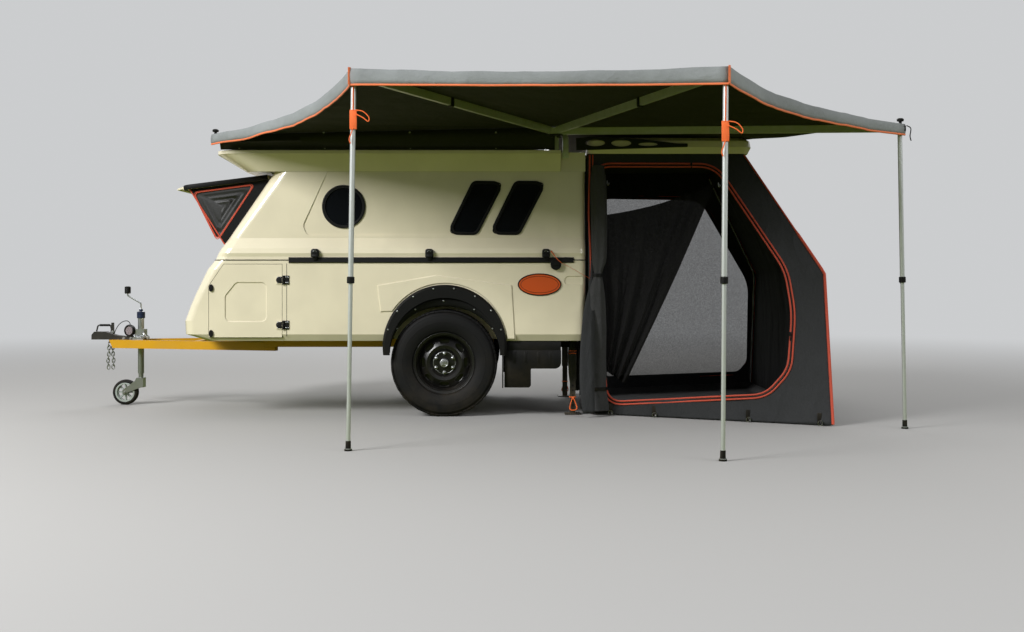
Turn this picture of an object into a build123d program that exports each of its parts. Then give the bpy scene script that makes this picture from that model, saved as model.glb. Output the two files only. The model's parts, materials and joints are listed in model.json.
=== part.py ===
from build123d import *
import math
import os

# Compact hard-shell off-road camper trailer, set up at camp: its side awning is fanned
# out on poles, the front bed hatch is propped up and a fabric room hangs from the
# lifted rear hatch. All lengths are millimetres. The origin is the centre of the
# towing ball's socket, X runs to the rear, Z up, and the side with the awning is -Y.
# Heights are stated above the ground, and level() turns one into a Z of this frame.

os.makedirs("parts", exist_ok=True)

# Driving dimensions
coupling_height = 540.0
seat_gap = 0.3
wall = 30.0
body_half_width = 900.0
body_rear = 3830.0
body_bottom = 552.0
seam_height = 1140.0
roof_height = 1939.0
tumblehome = 38.0
upper_half_width = body_half_width - tumblehome
axle_x = 2800.0
wheel_centre_y = 760.0
tyre_radius = 388.0
tyre_width = 265.0
rim_radius = 215.0


def level(height):
    """Z of a height above the ground."""
    return height - coupling_height


def between(low, high, share):
    """Height at a share of the way from low to high."""
    return low + (high - low) * share


def side_sketch(offset, outline):
    """Closed sketch of (X, height) points on the plane at Y = -offset, facing -Y."""
    with BuildSketch(Plane.XZ.offset(offset)) as sketch:
        with BuildLine():
            Polyline(*[(x, level(height)) for x, height in outline], close=True)
        make_face()
    return sketch.sketch


def plan_section(height, front, rear, half_width, front_radius, rear_radius):
    """Plan outline with rounded corners at a height above the ground."""
    with BuildSketch(Plane.XY.offset(level(height))) as outline:
        with Locations(((front + rear) / 2, 0)):
            Rectangle(rear - front, 2 * half_width)
        fillet(outline.vertices().group_by(Axis.X)[0], front_radius)
        fillet(outline.vertices().group_by(Axis.X)[-1], rear_radius)
    return outline.sketch


def shell_loft(sections, rear, inset, rear_radius):
    """Sections of a shell's table, each moved in by inset."""
    return [
        plan_section(height, front + inset, rear - inset, half_width - inset,
                     front_radius - inset, rear_radius)
        for height, front, half_width, front_radius in sections
    ]


def bar_plane(start, end):
    """Plane at start that faces end, with its X axis level."""
    run = Vector(*end) - Vector(*start)
    return Plane(origin=start, x_dir=Vector(0, 0, 1).cross(run), z_dir=run)


# Drawbar: two rails that meet at the coupling
rail_width = 50.0
rail_depth = 65.0
rail_top = body_bottom - seat_gap
drawbar_front = 107.0
drawbar_rear = 1500.0
drawbar_front_y = 42.0
rail_y = 480.0
drawbar_rear_y = rail_y - rail_width - seat_gap + 1
nose_slant = 31.0
rail_rear = 3790.0
cross_beams = (1560.0, 2250.0, 3330.0)
head_bottom = 519.0
drawbar_top = head_bottom

with BuildPart() as drawbar:
    for side in (-1, 1):
        start = (drawbar_front, side * drawbar_front_y, level(drawbar_top - rail_depth / 2))
        end = (drawbar_rear, side * drawbar_rear_y, level(drawbar_top - rail_depth / 2))
        with BuildSketch(bar_plane(start, end)):
            Rectangle(rail_width, rail_depth)
        extrude(amount=(Vector(*end) - Vector(*start)).length)
    with BuildSketch(Plane.XZ.offset(-rail_y)):
        with BuildLine():
            Polyline((drawbar_front - rail_depth, level(drawbar_top + 1)),
                     (drawbar_front, level(drawbar_top)),
                     (drawbar_front + nose_slant, level(drawbar_top - rail_depth)),
                     (drawbar_front + nose_slant, level(drawbar_top - rail_depth - 1)),
                     (drawbar_front - rail_depth, level(drawbar_top - rail_depth - 1)),
                     close=True)
        make_face()
    extrude(amount=2 * rail_y, mode=Mode.SUBTRACT)
    for x in (drawbar_front + 130, 820.0):
        spread = drawbar_front_y + (drawbar_rear_y - drawbar_front_y) * (x - drawbar_front) / (
            drawbar_rear - drawbar_front)
        with Locations((x, 0, level(drawbar_top - rail_depth / 2))):
            Box(rail_width, 2 * spread, rail_depth - 10)
drawbar.part.label = "drawbar"
export_step(drawbar.part, "parts/drawbar.step")

# Chassis: two long rails above the drawbar's level, tied by cross beams
with BuildPart() as chassis_frame:
    with Locations(*[((drawbar_rear - 80 + rail_rear) / 2, side * rail_y,
                      level(rail_top - rail_depth / 2)) for side in (-1, 1)]):
        Box(rail_rear - drawbar_rear + 80, rail_width, rail_depth)
    with Locations(*[(x, 0, level(rail_top - rail_depth / 2)) for x in cross_beams]):
        Box(rail_width, 2 * rail_y, rail_depth - 10)
    leg_x = 3746.0
    leg_y = 700.0
    with Locations((leg_x, 0, level(rail_top - rail_depth / 2))):
        Box(rail_width, 2 * leg_y + 60, rail_depth - 10)
chassis_frame.part.label = "chassis_frame"
export_step(chassis_frame.part, "parts/chassis_frame.step")

# Coupling head with the ball socket, its lever and the grab loop
socket_radius = 25.3
socket_depth = 30.0
head_rear = 300.0
head_width = 76.0
head_height = 62.0
chain_top = 498.0
chain_x = 101.0
chain_strands = ((-14.0, 8), (14.0, 9))

with BuildPart() as coupling_head:
    with BuildSketch(Plane.XZ.offset(-head_width / 2)):
        with BuildLine():
            Polyline((-45, level(head_bottom)), (head_rear, level(head_bottom)),
                     (head_rear, level(head_bottom + 18)), (150, level(head_bottom + 34)),
                     (70, level(head_bottom + head_height)), (-20, level(head_bottom + head_height)),
                     (-45, level(head_bottom + 34)), close=True)
        make_face()
    extrude(amount=head_width)
    fillet(coupling_head.edges().filter_by(Axis.Z), 14)
    with Locations(Plane.XY.offset(level(head_bottom))):
        Cylinder(socket_radius, socket_depth, align=(Align.CENTER, Align.CENTER, Align.MIN),
                 mode=Mode.SUBTRACT)
    with Locations(*[(chain_x, strand_y, level(chain_top - 8)) for strand_y, links in chain_strands]):
        Box(18, 4, head_bottom - chain_top + 8, align=(Align.CENTER, Align.CENTER, Align.MIN))
    with Locations((chain_x, 0, level(chain_top - 2))):
        Cylinder(3.2, 60, rotation=(90, 0, 0), mode=Mode.SUBTRACT)
coupling_head.part.label = "coupling_head"
export_step(coupling_head.part, "parts/coupling_head.step")

loop_bar = 12.0
with BuildPart() as coupling_lever:
    with BuildLine() as loop_path:
        FilletPolyline((-12, 0, level(head_bottom + head_height + 2)), (0, 0, level(632)),
                       (100, 0, level(632)), (112, 0, level(head_bottom + 52)), radius=16)
    with BuildSketch(loop_path.line ^ 0):
        Circle(loop_bar / 2)
    sweep()
    with BuildSketch(Plane.XZ.offset(-9)):
        with BuildLine():
            Polyline((100, level(571)), (128, level(561.5)), (126, level(652)), (108, level(652)),
                     close=True)
        make_face()
    extrude(amount=18)
coupling_lever.part.label = "coupling_lever"
export_step(coupling_lever.part, "parts/coupling_lever.step")

# Safety chain hanging below the coupling
link_wire = 4.0
link_length = 30.0
link_width = 20.0
link_inner_length = link_length - 2 * link_wire

with BuildPart() as safety_chain:
    for strand_y, links in chain_strands:
        for index in range(links):
            middle = level(chain_top) - link_length / 2 - index * (link_inner_length - seat_gap)
            link_plane = Plane(origin=(chain_x, strand_y, middle),
                               x_dir=(1, 0, 0) if index % 2 else (0, 1, 0),
                               z_dir=(0, 1, 0) if index % 2 else (1, 0, 0))
            with BuildSketch(link_plane):
                SlotOverall(link_length, link_width, rotation=90)
                SlotOverall(link_inner_length, link_width - 2 * link_wire, rotation=90,
                            mode=Mode.SUBTRACT)
            extrude(amount=link_wire / 2, both=True)
safety_chain.part.label = "safety_chain"
export_step(safety_chain.part, "parts/safety_chain.step")

# Jockey wheel: clamp, tube with its crank, swivelling fork and wheel
jockey_x = 342.0
jockey_tube_radius = 24.0
jockey_inner_radius = 19.0
jockey_tube_bottom = 250.0
jockey_tube_top = 690.0
jockey_collar_top = 746.0
jockey_wheel_x = 222.0
jockey_wheel_radius = 100.0
jockey_wheel_width = 60.0
fork_top = 215.0
axle_pin = 6.0

with BuildPart() as jockey_clamp:
    with Locations((jockey_x, 0, level(541))):
        Box(84, 190, 10, align=(Align.CENTER, Align.CENTER, Align.MAX))
    with Locations((jockey_x, 0, level(541))):
        Box(84, 70, 60, align=(Align.CENTER, Align.CENTER, Align.MIN))
    fillet(jockey_clamp.edges().filter_by(Axis.Z), 8)
    with Locations((jockey_x, 0, level(566))):
        Cylinder(jockey_tube_radius + 0.05, 140, mode=Mode.SUBTRACT)
    with Locations((jockey_x - 42, 0, level(572))):
        Box(40, 3, 62, mode=Mode.SUBTRACT)
    with BuildSketch(Plane.XY.offset(level(drawbar_top))):
        with Locations((jockey_x, 0)):
            Rectangle(84, 190)
            Rectangle(84, 110, mode=Mode.SUBTRACT)
    extrude(amount=12)
jockey_clamp.part.label = "jockey_clamp"
export_step(jockey_clamp.part, "parts/jockey_clamp.step")

with BuildPart() as jockey_tube:
    with BuildSketch(Plane.XZ):
        with BuildLine():
            Polyline((jockey_x, level(jockey_tube_bottom)),
                     (jockey_x + jockey_tube_radius, level(jockey_tube_bottom)),
                     (jockey_x + jockey_tube_radius, level(jockey_tube_top)),
                     (jockey_x + jockey_tube_radius + 5, level(jockey_tube_top)),
                     (jockey_x + jockey_tube_radius + 5, level(jockey_collar_top - 8)),
                     (jockey_x + 12, level(jockey_collar_top)),
                     (jockey_x + 7, level(jockey_collar_top + 22)),
                     (jockey_x, level(jockey_collar_top + 22)), close=True)
        make_face()
    revolve(axis=Axis((jockey_x, 0, 0), (0, 0, 1)))
jockey_tube.part.label = "jockey_tube"
export_step(jockey_tube.part, "parts/jockey_tube.step")

with BuildPart() as jockey_crank:
    with BuildLine() as crank_path:
        FilletPolyline((jockey_x, 0, level(jockey_collar_top + 22.3)), (jockey_x, 0, level(806)),
                       (236, 0, level(868)), (236, 0, level(884)), radius=12)
    with BuildSketch(crank_path.line ^ 0):
        Circle(6)
    sweep()
    with Locations((236, 0, level(911))):
        Cylinder(22, 54)
jockey_crank.part.label = "jockey_crank"
export_step(jockey_crank.part, "parts/jockey_crank.step")

fork_gap = jockey_wheel_width / 2 + 6
with BuildPart() as jockey_fork:
    with Locations((jockey_x, 0, level(fork_top - 45))):
        Cylinder(jockey_inner_radius, jockey_tube_bottom - fork_top + 45 - seat_gap,
                 align=(Align.CENTER, Align.CENTER, Align.MIN))
    with BuildSketch(Plane.XZ.offset(-fork_gap - 5)):
        with BuildLine():
            Polyline((jockey_x + 27, level(fork_top)), (jockey_x - 27, level(fork_top)),
                     (jockey_x - 38, level(fork_top - 24)),
                     (jockey_wheel_x - 16, level(jockey_wheel_radius + 18)),
                     (jockey_wheel_x - 16, level(jockey_wheel_radius - 14)),
                     (jockey_x + 8, level(fork_top - 76)),
                     (jockey_x + 27, level(fork_top - 76)), close=True)
        make_face()
    extrude(amount=2 * fork_gap + 10)
    with Locations((jockey_wheel_x, 0, level(jockey_wheel_radius))):
        Cylinder(jockey_wheel_radius + 8, 2 * fork_gap, rotation=(90, 0, 0), mode=Mode.SUBTRACT)
        Cylinder(axle_pin, 2 * fork_gap + 24, rotation=(90, 0, 0))
jockey_fork.part.label = "jockey_fork"
export_step(jockey_fork.part, "parts/jockey_fork.step")

with BuildPart() as jockey_rim:
    with BuildSketch(Plane.XZ.offset(-jockey_wheel_width / 2)):
        with Locations((jockey_wheel_x, level(jockey_wheel_radius))):
            Circle(76)
            Circle(64, mode=Mode.SUBTRACT)
    extrude(amount=jockey_wheel_width)
    with BuildSketch(Plane.XZ.offset(-12)):
        with Locations((jockey_wheel_x, level(jockey_wheel_radius))):
            with PolarLocations(0, 8):
                with Locations((40, 0)):
                    Rectangle(58, 12)
    extrude(amount=24)
    with Locations((jockey_wheel_x, 0, level(jockey_wheel_radius))):
        Cylinder(22, jockey_wheel_width + 6, rotation=(90, 0, 0))
        Cylinder(axle_pin + 0.05, jockey_wheel_width + 20, rotation=(90, 0, 0), mode=Mode.SUBTRACT)
jockey_rim.part.label = "jockey_rim"
export_step(jockey_rim.part, "parts/jockey_rim.step")

with BuildPart() as jockey_tyre:
    with BuildSketch(Plane.XY):
        with BuildLine():
            half = jockey_wheel_width / 2
            Polyline((76, -half), (90, -half), (jockey_wheel_radius, -half + 16),
                     (jockey_wheel_radius, half - 16), (90, half), (76, half), close=True)
        make_face()
    revolve(axis=Axis.Y)
jockey_tyre_placed = Pos(jockey_wheel_x, 0, level(jockey_wheel_radius)) * jockey_tyre.part
jockey_tyre_placed.label = "jockey_tyre"
export_step(jockey_tyre_placed, "parts/jockey_tyre.step")

# Road wheels: steel rims with slots, tyres with shoulder lugs, hubs on a through axle
stub_radius = 20.0
hub_radius = 62.0
axle_radius = 32.0
lug_count = 36
sides = (("left", -1), ("right", 1))

# Section of a tyre, as distance along the axle and radius
tyre_profile = (
    (-92, rim_radius), (-92, rim_radius + 10), (-118, rim_radius + 16), (-132, 290), (-130, 330),
    (-112, 366), (-98, 376), (98, 376), (112, 366), (130, 330), (132, 290),
    (118, rim_radius + 16), (92, rim_radius + 10), (92, rim_radius),
)
# Section of a rim barrel: outer side first, then back along the inside
rim_profile = (
    (-92.3, rim_radius - 0.3), (-92.3, rim_radius + 8), (-101, rim_radius + 8),
    (-98, rim_radius - 9), (-60, rim_radius - 12), (-40, rim_radius - 26), (60, rim_radius - 26),
    (98, rim_radius - 9), (101, rim_radius + 8), (92.3, rim_radius + 8),
    (92.3, rim_radius - 0.3), (76, rim_radius - 0.3), (60, rim_radius - 16),
    (-30, rim_radius - 16), (-50, rim_radius - 0.3),
)
disc_profile = (
    (-40, 66), (-40, 88), (-58, 104), (-62, 128), (-30, 196), (-22, 196), (-54, 128),
    (-50, 108), (-32, 90), (-32, 66),
)

for side_name, side in sides:
    hub_centre = Vector(axle_x, side * wheel_centre_y, level(tyre_radius))
    outward = Plane(origin=hub_centre, x_dir=(1, 0, 0), z_dir=(0, side, 0))

    with BuildPart() as tyre:
        with BuildSketch(Plane.XZ):
            with BuildLine():
                Polyline(*[(radius, along) for along, radius in tyre_profile], close=True)
            make_face()
        revolve(axis=Axis.Z)
        with PolarLocations(0, lug_count):
            for shift, turn in ((-66, 9), (66, -9)):
                with Locations(Location((tyre_radius - 12, 0, shift), (turn, 0, 0))):
                    Box(22, 40, 68, align=(Align.CENTER, Align.CENTER, Align.CENTER))
        with BuildSketch(Plane.XY.offset(-200)):
            Circle(500)
            Circle(tyre_radius, mode=Mode.SUBTRACT)
        extrude(amount=400, mode=Mode.SUBTRACT)
    tyre_placed = outward.location * tyre.part
    tyre_placed.label = f"tyre_{side_name}"
    export_step(tyre_placed, f"parts/tyre_{side_name}.step")

    with BuildPart() as rim:
        for profile in (rim_profile, disc_profile):
            with BuildSketch(Plane.XZ):
                with BuildLine():
                    Polyline(*[(radius, -along) for along, radius in profile], close=True)
                make_face()
            revolve(axis=Axis.Z)
        with BuildSketch(Plane.XY.offset(70)):
            with PolarLocations(156, 8):
                SlotOverall(76, 34, rotation=90)
        extrude(amount=-90, mode=Mode.SUBTRACT)
        with BuildSketch(Plane.XY.offset(32)):
            Circle(84)
            Circle(33, mode=Mode.SUBTRACT)
            with PolarLocations(69.85, 6):
                Circle(7, mode=Mode.SUBTRACT)
        extrude(amount=8)
    rim_placed = outward.location * rim.part
    rim_placed.label = f"rim_{side_name}"
    export_step(rim_placed, f"parts/rim_{side_name}.step")

    with BuildPart() as hub:
        with BuildSketch(Plane.XY.offset(31.7)):
            Circle(84)
        extrude(amount=-14)
        with BuildSketch(Plane.XY.offset(24)):
            Circle(32)
        extrude(amount=58, taper=3)
        with BuildSketch(Plane.XY.offset(18)):
            Circle(130)
        extrude(amount=-72)
        with BuildSketch(Plane.XY.offset(40)):
            Circle(stub_radius + 0.05)
        extrude(amount=-110, mode=Mode.SUBTRACT)
    hub_placed = outward.location * hub.part
    hub_placed.label = f"hub_{side_name}"
    export_step(hub_placed, f"parts/hub_{side_name}.step")

# Trailing arms with their stub axles, coil housings and rubber springs
arm_pivot_x = 2330.0
with BuildPart() as trailing_arms:
    with BuildSketch(Plane.XY.offset(level(tyre_radius - 35))):
        with BuildLine():
            Polyline((arm_pivot_x, -440), (arm_pivot_x, -380), (axle_x - 60, -520), (axle_x + 40, -520),
                     (axle_x + 40, -600), (axle_x - 60, -600), (arm_pivot_x, -580),
                     (arm_pivot_x, -520), (axle_x - 120, -556), close=True)
        make_face()
    extrude(amount=70)
    with Locations((arm_pivot_x, -480, level(tyre_radius))):
        Cylinder(35, 210, rotation=(90, 0, 0))
    with Locations((axle_x, -560, level(tyre_radius))):
        Cylinder(45, 80, rotation=(90, 0, 0))
        Cylinder(stub_radius, wheel_centre_y - 560 + 34, rotation=(90, 0, 0),
                 align=(Align.CENTER, Align.CENTER, Align.MIN))
    with Locations((arm_pivot_x, -rail_y, level(tyre_radius))):
        Box(44, rail_width, rail_top - rail_depth - tyre_radius - seat_gap,
            align=(Align.CENTER, Align.CENTER, Align.MIN))
    mirror(about=Plane.XZ)
trailing_arms.part.label = "trailing_arms"
export_step(trailing_arms.part, "parts/trailing_arms.step")

spring_bottom = tyre_radius + 35 + seat_gap
spring_top = rail_top - rail_depth - seat_gap
spring_x = axle_x - 90
ring_count = 3
ring_height = (spring_top - spring_bottom) / ring_count
with BuildPart() as springs:
    for ring in range(ring_count):
        with Locations((spring_x, -530, level(spring_bottom + ring * ring_height))):
            Cone(30, 42, ring_height / 2, align=(Align.CENTER, Align.CENTER, Align.MIN))
        with Locations((spring_x, -530, level(spring_bottom + (ring + 0.5) * ring_height))):
            Cone(42, 30, ring_height / 2, align=(Align.CENTER, Align.CENTER, Align.MIN))
    mirror(about=Plane.XZ)
springs.part.label = "springs"
export_step(springs.part, "parts/springs.step")

# Lower tub: a hollow moulded shell with wheel arches, open at the rear and at its lockers
# Columns: height, front end, half width, front corner radius
sill_tuck = 32.0
tub_sections = (
    (body_bottom, 1060, body_half_width - sill_tuck, 90),
    (between(body_bottom, seam_height, 0.0816), 912, body_half_width, 78),
    (between(body_bottom, seam_height, 0.25), 908, body_half_width, 74),
    (between(body_bottom, seam_height, 0.449), 951, body_half_width, 74),
    (between(body_bottom, seam_height, 0.5952), 988, body_half_width, 78),
    (between(body_bottom, seam_height, 0.8844), 1068, body_half_width, 90),
    (seam_height, 1121, body_half_width, 100),
)
arch_x = 2808.0
arch_height = 466.0
arch_radius = 406.0
arch_inner_y = 590.0
locker_wall_x = 1650.0
deck_bottom = seam_height - 40
door_bottom = body_bottom + 24
door_top = seam_height - 28
door_outline = ((1092, door_bottom), (1629, door_bottom), (1629, door_top), (1200, door_top),
                (1092, between(door_bottom, door_top, 0.7015)))
door_gap = 6.0
hatch_half_width = upper_half_width + 18
opening_half_width = body_half_width - 110
opening_bottom = body_bottom + 188
opening_top = roof_height - 59

flare_height = 511.0
flare_radius = 450.0
fender_rise = 9.0
fender_gap = 3.0
# Raised fender panel, as reach from the arch's middle and height
fender_outline = ((-471, 755), (-496, 961), (-64, 1035), (493, 962), (517, body_bottom + 8),
                  (440, body_bottom + 8), (300, 760), (-300, 760), (-440, 760))
pocket_depth = 7.0

with BuildPart() as lower_tub:
    loft(sections=shell_loft(tub_sections, body_rear, 0, 45), ruled=True)
    inner_sections = [(max(height, body_bottom + wall), front, half, radius)
                      for height, front, half, radius in tub_sections[1:]]
    inner_sections = [(body_bottom + wall, 925, body_half_width, 78)] + inner_sections[1:]
    loft(sections=shell_loft(inner_sections, body_rear, wall, 20), ruled=True, mode=Mode.SUBTRACT)
    with Locations((locker_wall_x, 0, level(body_bottom + wall / 2))):
        Box(wall, 2 * body_half_width - 2 * wall, deck_bottom - seat_gap - body_bottom - wall / 2,
            align=(Align.CENTER, Align.CENTER, Align.MIN))
    for side in (-1, 1):
        with Locations((arch_x, side * (arch_inner_y - 20 + body_half_width - 10) / 2, level(arch_height))):
            Cylinder(arch_radius + 20, body_half_width - arch_inner_y + 10, rotation=(90, 0, 0))
    with BuildSketch(Plane.XY.offset(level(0))):
        with Locations((arch_x, 0)):
            Rectangle(1200, 2400)
    extrude(amount=body_bottom, mode=Mode.SUBTRACT)
    for side in (-1, 1):
        with Locations((arch_x, side * (arch_inner_y + body_half_width + 60) / 2, level(arch_height))):
            Cylinder(arch_radius, body_half_width + 60 - arch_inner_y, rotation=(90, 0, 0),
                     mode=Mode.SUBTRACT)
    for side in (-1, 1):
        with BuildSketch(Plane.XZ.offset(side * (body_half_width - 4))):
            with BuildLine():
                Polyline(*[(arch_x + reach, level(height)) for reach, height in fender_outline],
                         close=True)
            make_face()
            with Locations((arch_x, level(flare_height))):
                Circle(flare_radius + fender_gap, mode=Mode.SUBTRACT)
        extrude(amount=side * (fender_rise + 4), taper=40)
        with BuildSketch(Plane.XZ.offset(side * body_half_width)):
            with Locations((body_rear - 80, level(seam_height - 149))):
                SlotOverall(150, 66)
        extrude(amount=-side * pocket_depth, taper=30, mode=Mode.SUBTRACT)
    extrude(side_sketch(body_half_width - wall - 6, door_outline), amount=wall + 20,
            mode=Mode.SUBTRACT)
    extrude(side_sketch(-body_half_width - 14, door_outline), amount=wall + 20,
            mode=Mode.SUBTRACT)
    with Locations((body_rear, 0, level(opening_bottom))):
        Box(3 * wall, 2 * opening_half_width, 800, align=(Align.CENTER, Align.CENTER, Align.MIN),
            mode=Mode.SUBTRACT)
lower_tub.part.label = "lower_tub"
export_step(lower_tub.part, "parts/lower_tub.step")

# Locker doors, one on each side, with a pressed panel, two hinges and two oval latches
door_hinge_x = 1637.0
hinge_radius = 8.0
hinge_y = body_half_width + 10
hinge_heights = [between(door_bottom, door_top, share) for share in (0.1716, 0.7817)]
latch_heights = [between(door_bottom, door_top, share) for share in (0.056, 0.6735)]
door_inner = [(x, between(door_bottom, door_top, share))
              for x, share in ((1210, 0.2127), (1515, 0.2127), (1515, 0.7537), (1290, 0.7537),
                               (1210, 0.5672))]
panel_depth = 7.0


def locker_door(side):
    """Door panel of one side with its hinge leaves and latches."""
    with BuildPart() as door:
        with BuildSketch(Plane.XZ.offset(body_half_width - wall)):
            with BuildLine():
                Polyline(*[(x, level(height)) for x, height in door_outline], close=True)
            make_face()
            offset(amount=-door_gap / 2, kind=Kind.INTERSECTION)
        extrude(amount=wall)
        with BuildSketch(Plane.XZ.offset(body_half_width)) as panel:
            with BuildLine():
                Polyline(*[(x, level(height)) for x, height in door_inner], close=True)
            make_face()
            fillet(panel.vertices(), 40)
        extrude(amount=-panel_depth, taper=45, mode=Mode.SUBTRACT)
        for height in hinge_heights:
            with Locations((door_hinge_x - hinge_radius - 23, -body_half_width - 3, level(height))):
                Box(44, 6, 64)
            with Locations((door_hinge_x, -hinge_y, level(height))):
                Cylinder(hinge_radius, 30)
            with Locations((door_hinge_x - 6, -body_half_width - 6, level(height))):
                Box(12, 8, 30)
        for height in latch_heights:
            with BuildSketch(Plane.XZ.offset(body_half_width)):
                with Locations((1112, level(height))):
                    Ellipse(14, 25)
            extrude(amount=9)
        if side > 0:
            mirror(about=Plane.XZ, mode=Mode.REPLACE)
    return door.part


for side_name, side in sides:
    door_part = locker_door(side)
    door_part.label = f"locker_door_{side_name}"
    export_step(door_part, f"parts/locker_door_{side_name}.step")

# Hinge posts on the body that the door knuckles turn between
with BuildPart() as hinge_posts:
    for height in hinge_heights:
        with Locations((door_hinge_x + hinge_radius + 17, -body_half_width - 3 - seat_gap,
                        level(height))):
            Box(32, 6, 64)
        for shift in (-24, 24):
            with Locations((door_hinge_x, -hinge_y, level(height + shift))):
                Cylinder(hinge_radius, 16)
            with Locations((door_hinge_x + 6, -body_half_width - 6, level(height + shift))):
                Box(12, 8, 16)
    mirror(about=Plane.XZ)
hinge_posts.part.label = "hinge_posts"
export_step(hinge_posts.part, "parts/hinge_posts.step")

# Wheel arch flares: black crescents, thick at the crown
flare_inner_radius = 400.0
flare_end = 450.0
flare_depth = 34.0
with BuildPart() as arch_flares:
    with BuildSketch(Plane.XZ.offset(body_half_width + seat_gap)):
        with Locations((arch_x, level(flare_height))):
            Circle(flare_radius)
        with Locations((arch_x, level(arch_height))):
            Circle(flare_inner_radius, mode=Mode.SUBTRACT)
        with Locations((arch_x, level(flare_end))):
            Rectangle(1200, 600, align=(Align.CENTER, Align.MAX), mode=Mode.SUBTRACT)
    extrude(amount=flare_depth)
    chamfer(arch_flares.faces().sort_by(Axis.Y)[0].edges().filter_by(GeomType.CIRCLE).sort_by(
        SortBy.LENGTH)[-1], 16)
    mirror(about=Plane.XZ)
arch_flares.part.label = "arch_flares"
export_step(arch_flares.part, "parts/arch_flares.step")

with BuildPart() as mudflaps:
    with Locations((arch_x + arch_radius + 14, -body_half_width + 8 + tyre_width / 2, level(210))):
        Box(8, tyre_width, body_bottom - seat_gap - 210, align=(Align.CENTER, Align.CENTER, Align.MIN))
    mirror(about=Plane.XZ)
mudflaps.part.label = "mudflaps"
export_step(mudflaps.part, "parts/mudflaps.step")

# Water tank under the tail, with ribs pressed into its sides
tank_front = 3267.0
tank_rear = 3655.0
tank_bottom = 348.0
tank_top = rail_top - rail_depth - seat_gap
tank_half_width = 500.0
with BuildPart() as water_tank:
    with BuildSketch(Plane.XZ.offset(-tank_half_width)) as tank_side:
        with BuildLine():
            Polyline((tank_front, level(tank_bottom)), (tank_rear, level(tank_bottom)),
                     (tank_rear, level(tank_top)), (tank_front, level(tank_top)), close=True)
        make_face()
        fillet(tank_side.vertices().group_by(Axis.Y)[0], 45)
    extrude(amount=2 * tank_half_width)
    with Locations(*[(x, side * tank_half_width, level(415)) for x in (3345, 3461, 3577)
                     for side in (-1, 1)]):
        Box(36, 24, 76, mode=Mode.SUBTRACT)
water_tank.part.label = "water_tank"
export_step(water_tank.part, "parts/water_tank.step")

# Upper shell: hollow, shoulders below and a raked bed front
# Columns: height, front end, half width, front corner radius
shell_top = roof_height - 153
rake_low = Vector(1164, 0, level(seam_height + 81))
rake_high = Vector(1537, 0, level(shell_top - 10))


def rake_x(height):
    """X of the raked front at a height above the ground."""
    along = (level(height) - rake_low.Z) / (rake_high.Z - rake_low.Z)
    return rake_low.X + along * (rake_high.X - rake_low.X)


upper_sections = (
    (seam_height + seat_gap, 1121.5, body_half_width, 100),
    (seam_height + 25, 1134, body_half_width, 100),
    (seam_height + 50, 1146, body_half_width + 7, 100),
    (seam_height + 85, rake_x(seam_height + 85), body_half_width, 100),
    (seam_height + 160, rake_x(seam_height + 160), upper_half_width + 6, 100),
    (shell_top, rake_x(shell_top), upper_half_width, 130),
)
recess_depth = 9.0
recess_outline = ((1771, seam_height + 254), (1800, seam_height + 180),
                  (3638, seam_height + 180), (3638, shell_top + 4), (1953, shell_top + 4))
round_window = (2069.0, shell_top - 256)
round_window_radius = 140.0
slanted_window = ((3019, shell_top - 85), (3218, shell_top - 89), (3032, seam_height + 200),
                  (2844, seam_height + 203))
window_step = 309.0
window_corner = 35.0
window_rim = 18.0
window_face = upper_half_width + 6 - recess_depth


def window_sketch(offset_y, grow):
    """Sketch of one side's three windows, each larger by grow."""
    with BuildSketch(Plane.XZ.offset(offset_y)) as windows:
        with Locations((round_window[0], level(round_window[1]))):
            Circle(round_window_radius + grow)
        for shift in (0, window_step):
            with BuildSketch(mode=Mode.PRIVATE) as pane:
                with BuildLine():
                    Polyline(*[(x + shift, level(height)) for x, height in slanted_window],
                             close=True)
                make_face()
                fillet(pane.vertices(), window_corner)
                offset(amount=grow)
            add(pane.sketch_local)
    return windows.sketch


rake_run = (rake_high - rake_low).normalized()
rake_normal = Vector(-rake_run.Z, 0, rake_run.X)
rake_plane = Plane(origin=rake_high, x_dir=(0, 1, 0), z_dir=rake_normal)
front_opening_half = 640.0
front_opening = (94.0, 619.0)

with BuildPart() as upper_shell:
    loft(sections=shell_loft(upper_sections, body_rear, 0, 45), ruled=True)
    loft(sections=shell_loft(upper_sections, body_rear, wall, 20), ruled=True, mode=Mode.SUBTRACT)
    for turn in (-1, 1):
        with BuildSketch(Plane.XZ.offset(turn * window_face)) as recess:
            with BuildLine():
                Polyline(*[(x, level(height)) for x, height in recess_outline], close=True)
            make_face()
            fillet(recess.vertices().sort_by(Axis.Y)[:3], 50)
        extrude(amount=turn * 60, mode=Mode.SUBTRACT)
        extrude(window_sketch(turn * (upper_half_width - 60), 0), amount=turn * 120,
                mode=Mode.SUBTRACT)
    with BuildSketch(rake_plane):
        with Locations((0, (front_opening[0] + front_opening[1]) / 2)):
            RectangleRounded(2 * front_opening_half, front_opening[1] - front_opening[0], 60)
    extrude(amount=60, both=True, mode=Mode.SUBTRACT)
    with Locations((body_rear, 0, level(seam_height))):
        Box(3 * wall, 2 * opening_half_width, 700, align=(Align.CENTER, Align.CENTER, Align.MIN),
            mode=Mode.SUBTRACT)
upper_shell.part.label = "upper_shell"
export_step(upper_shell.part, "parts/upper_shell.step")

with BuildPart() as window_frames:
    for turn in (-1, 1):
        extrude(window_sketch(turn * (window_face + seat_gap), window_rim), amount=turn * 9)
        extrude(window_sketch(turn * (window_face - 20), -4), amount=turn * 60, mode=Mode.SUBTRACT)
window_frames.part.label = "window_frames"
export_step(window_frames.part, "parts/window_frames.step")

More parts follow.
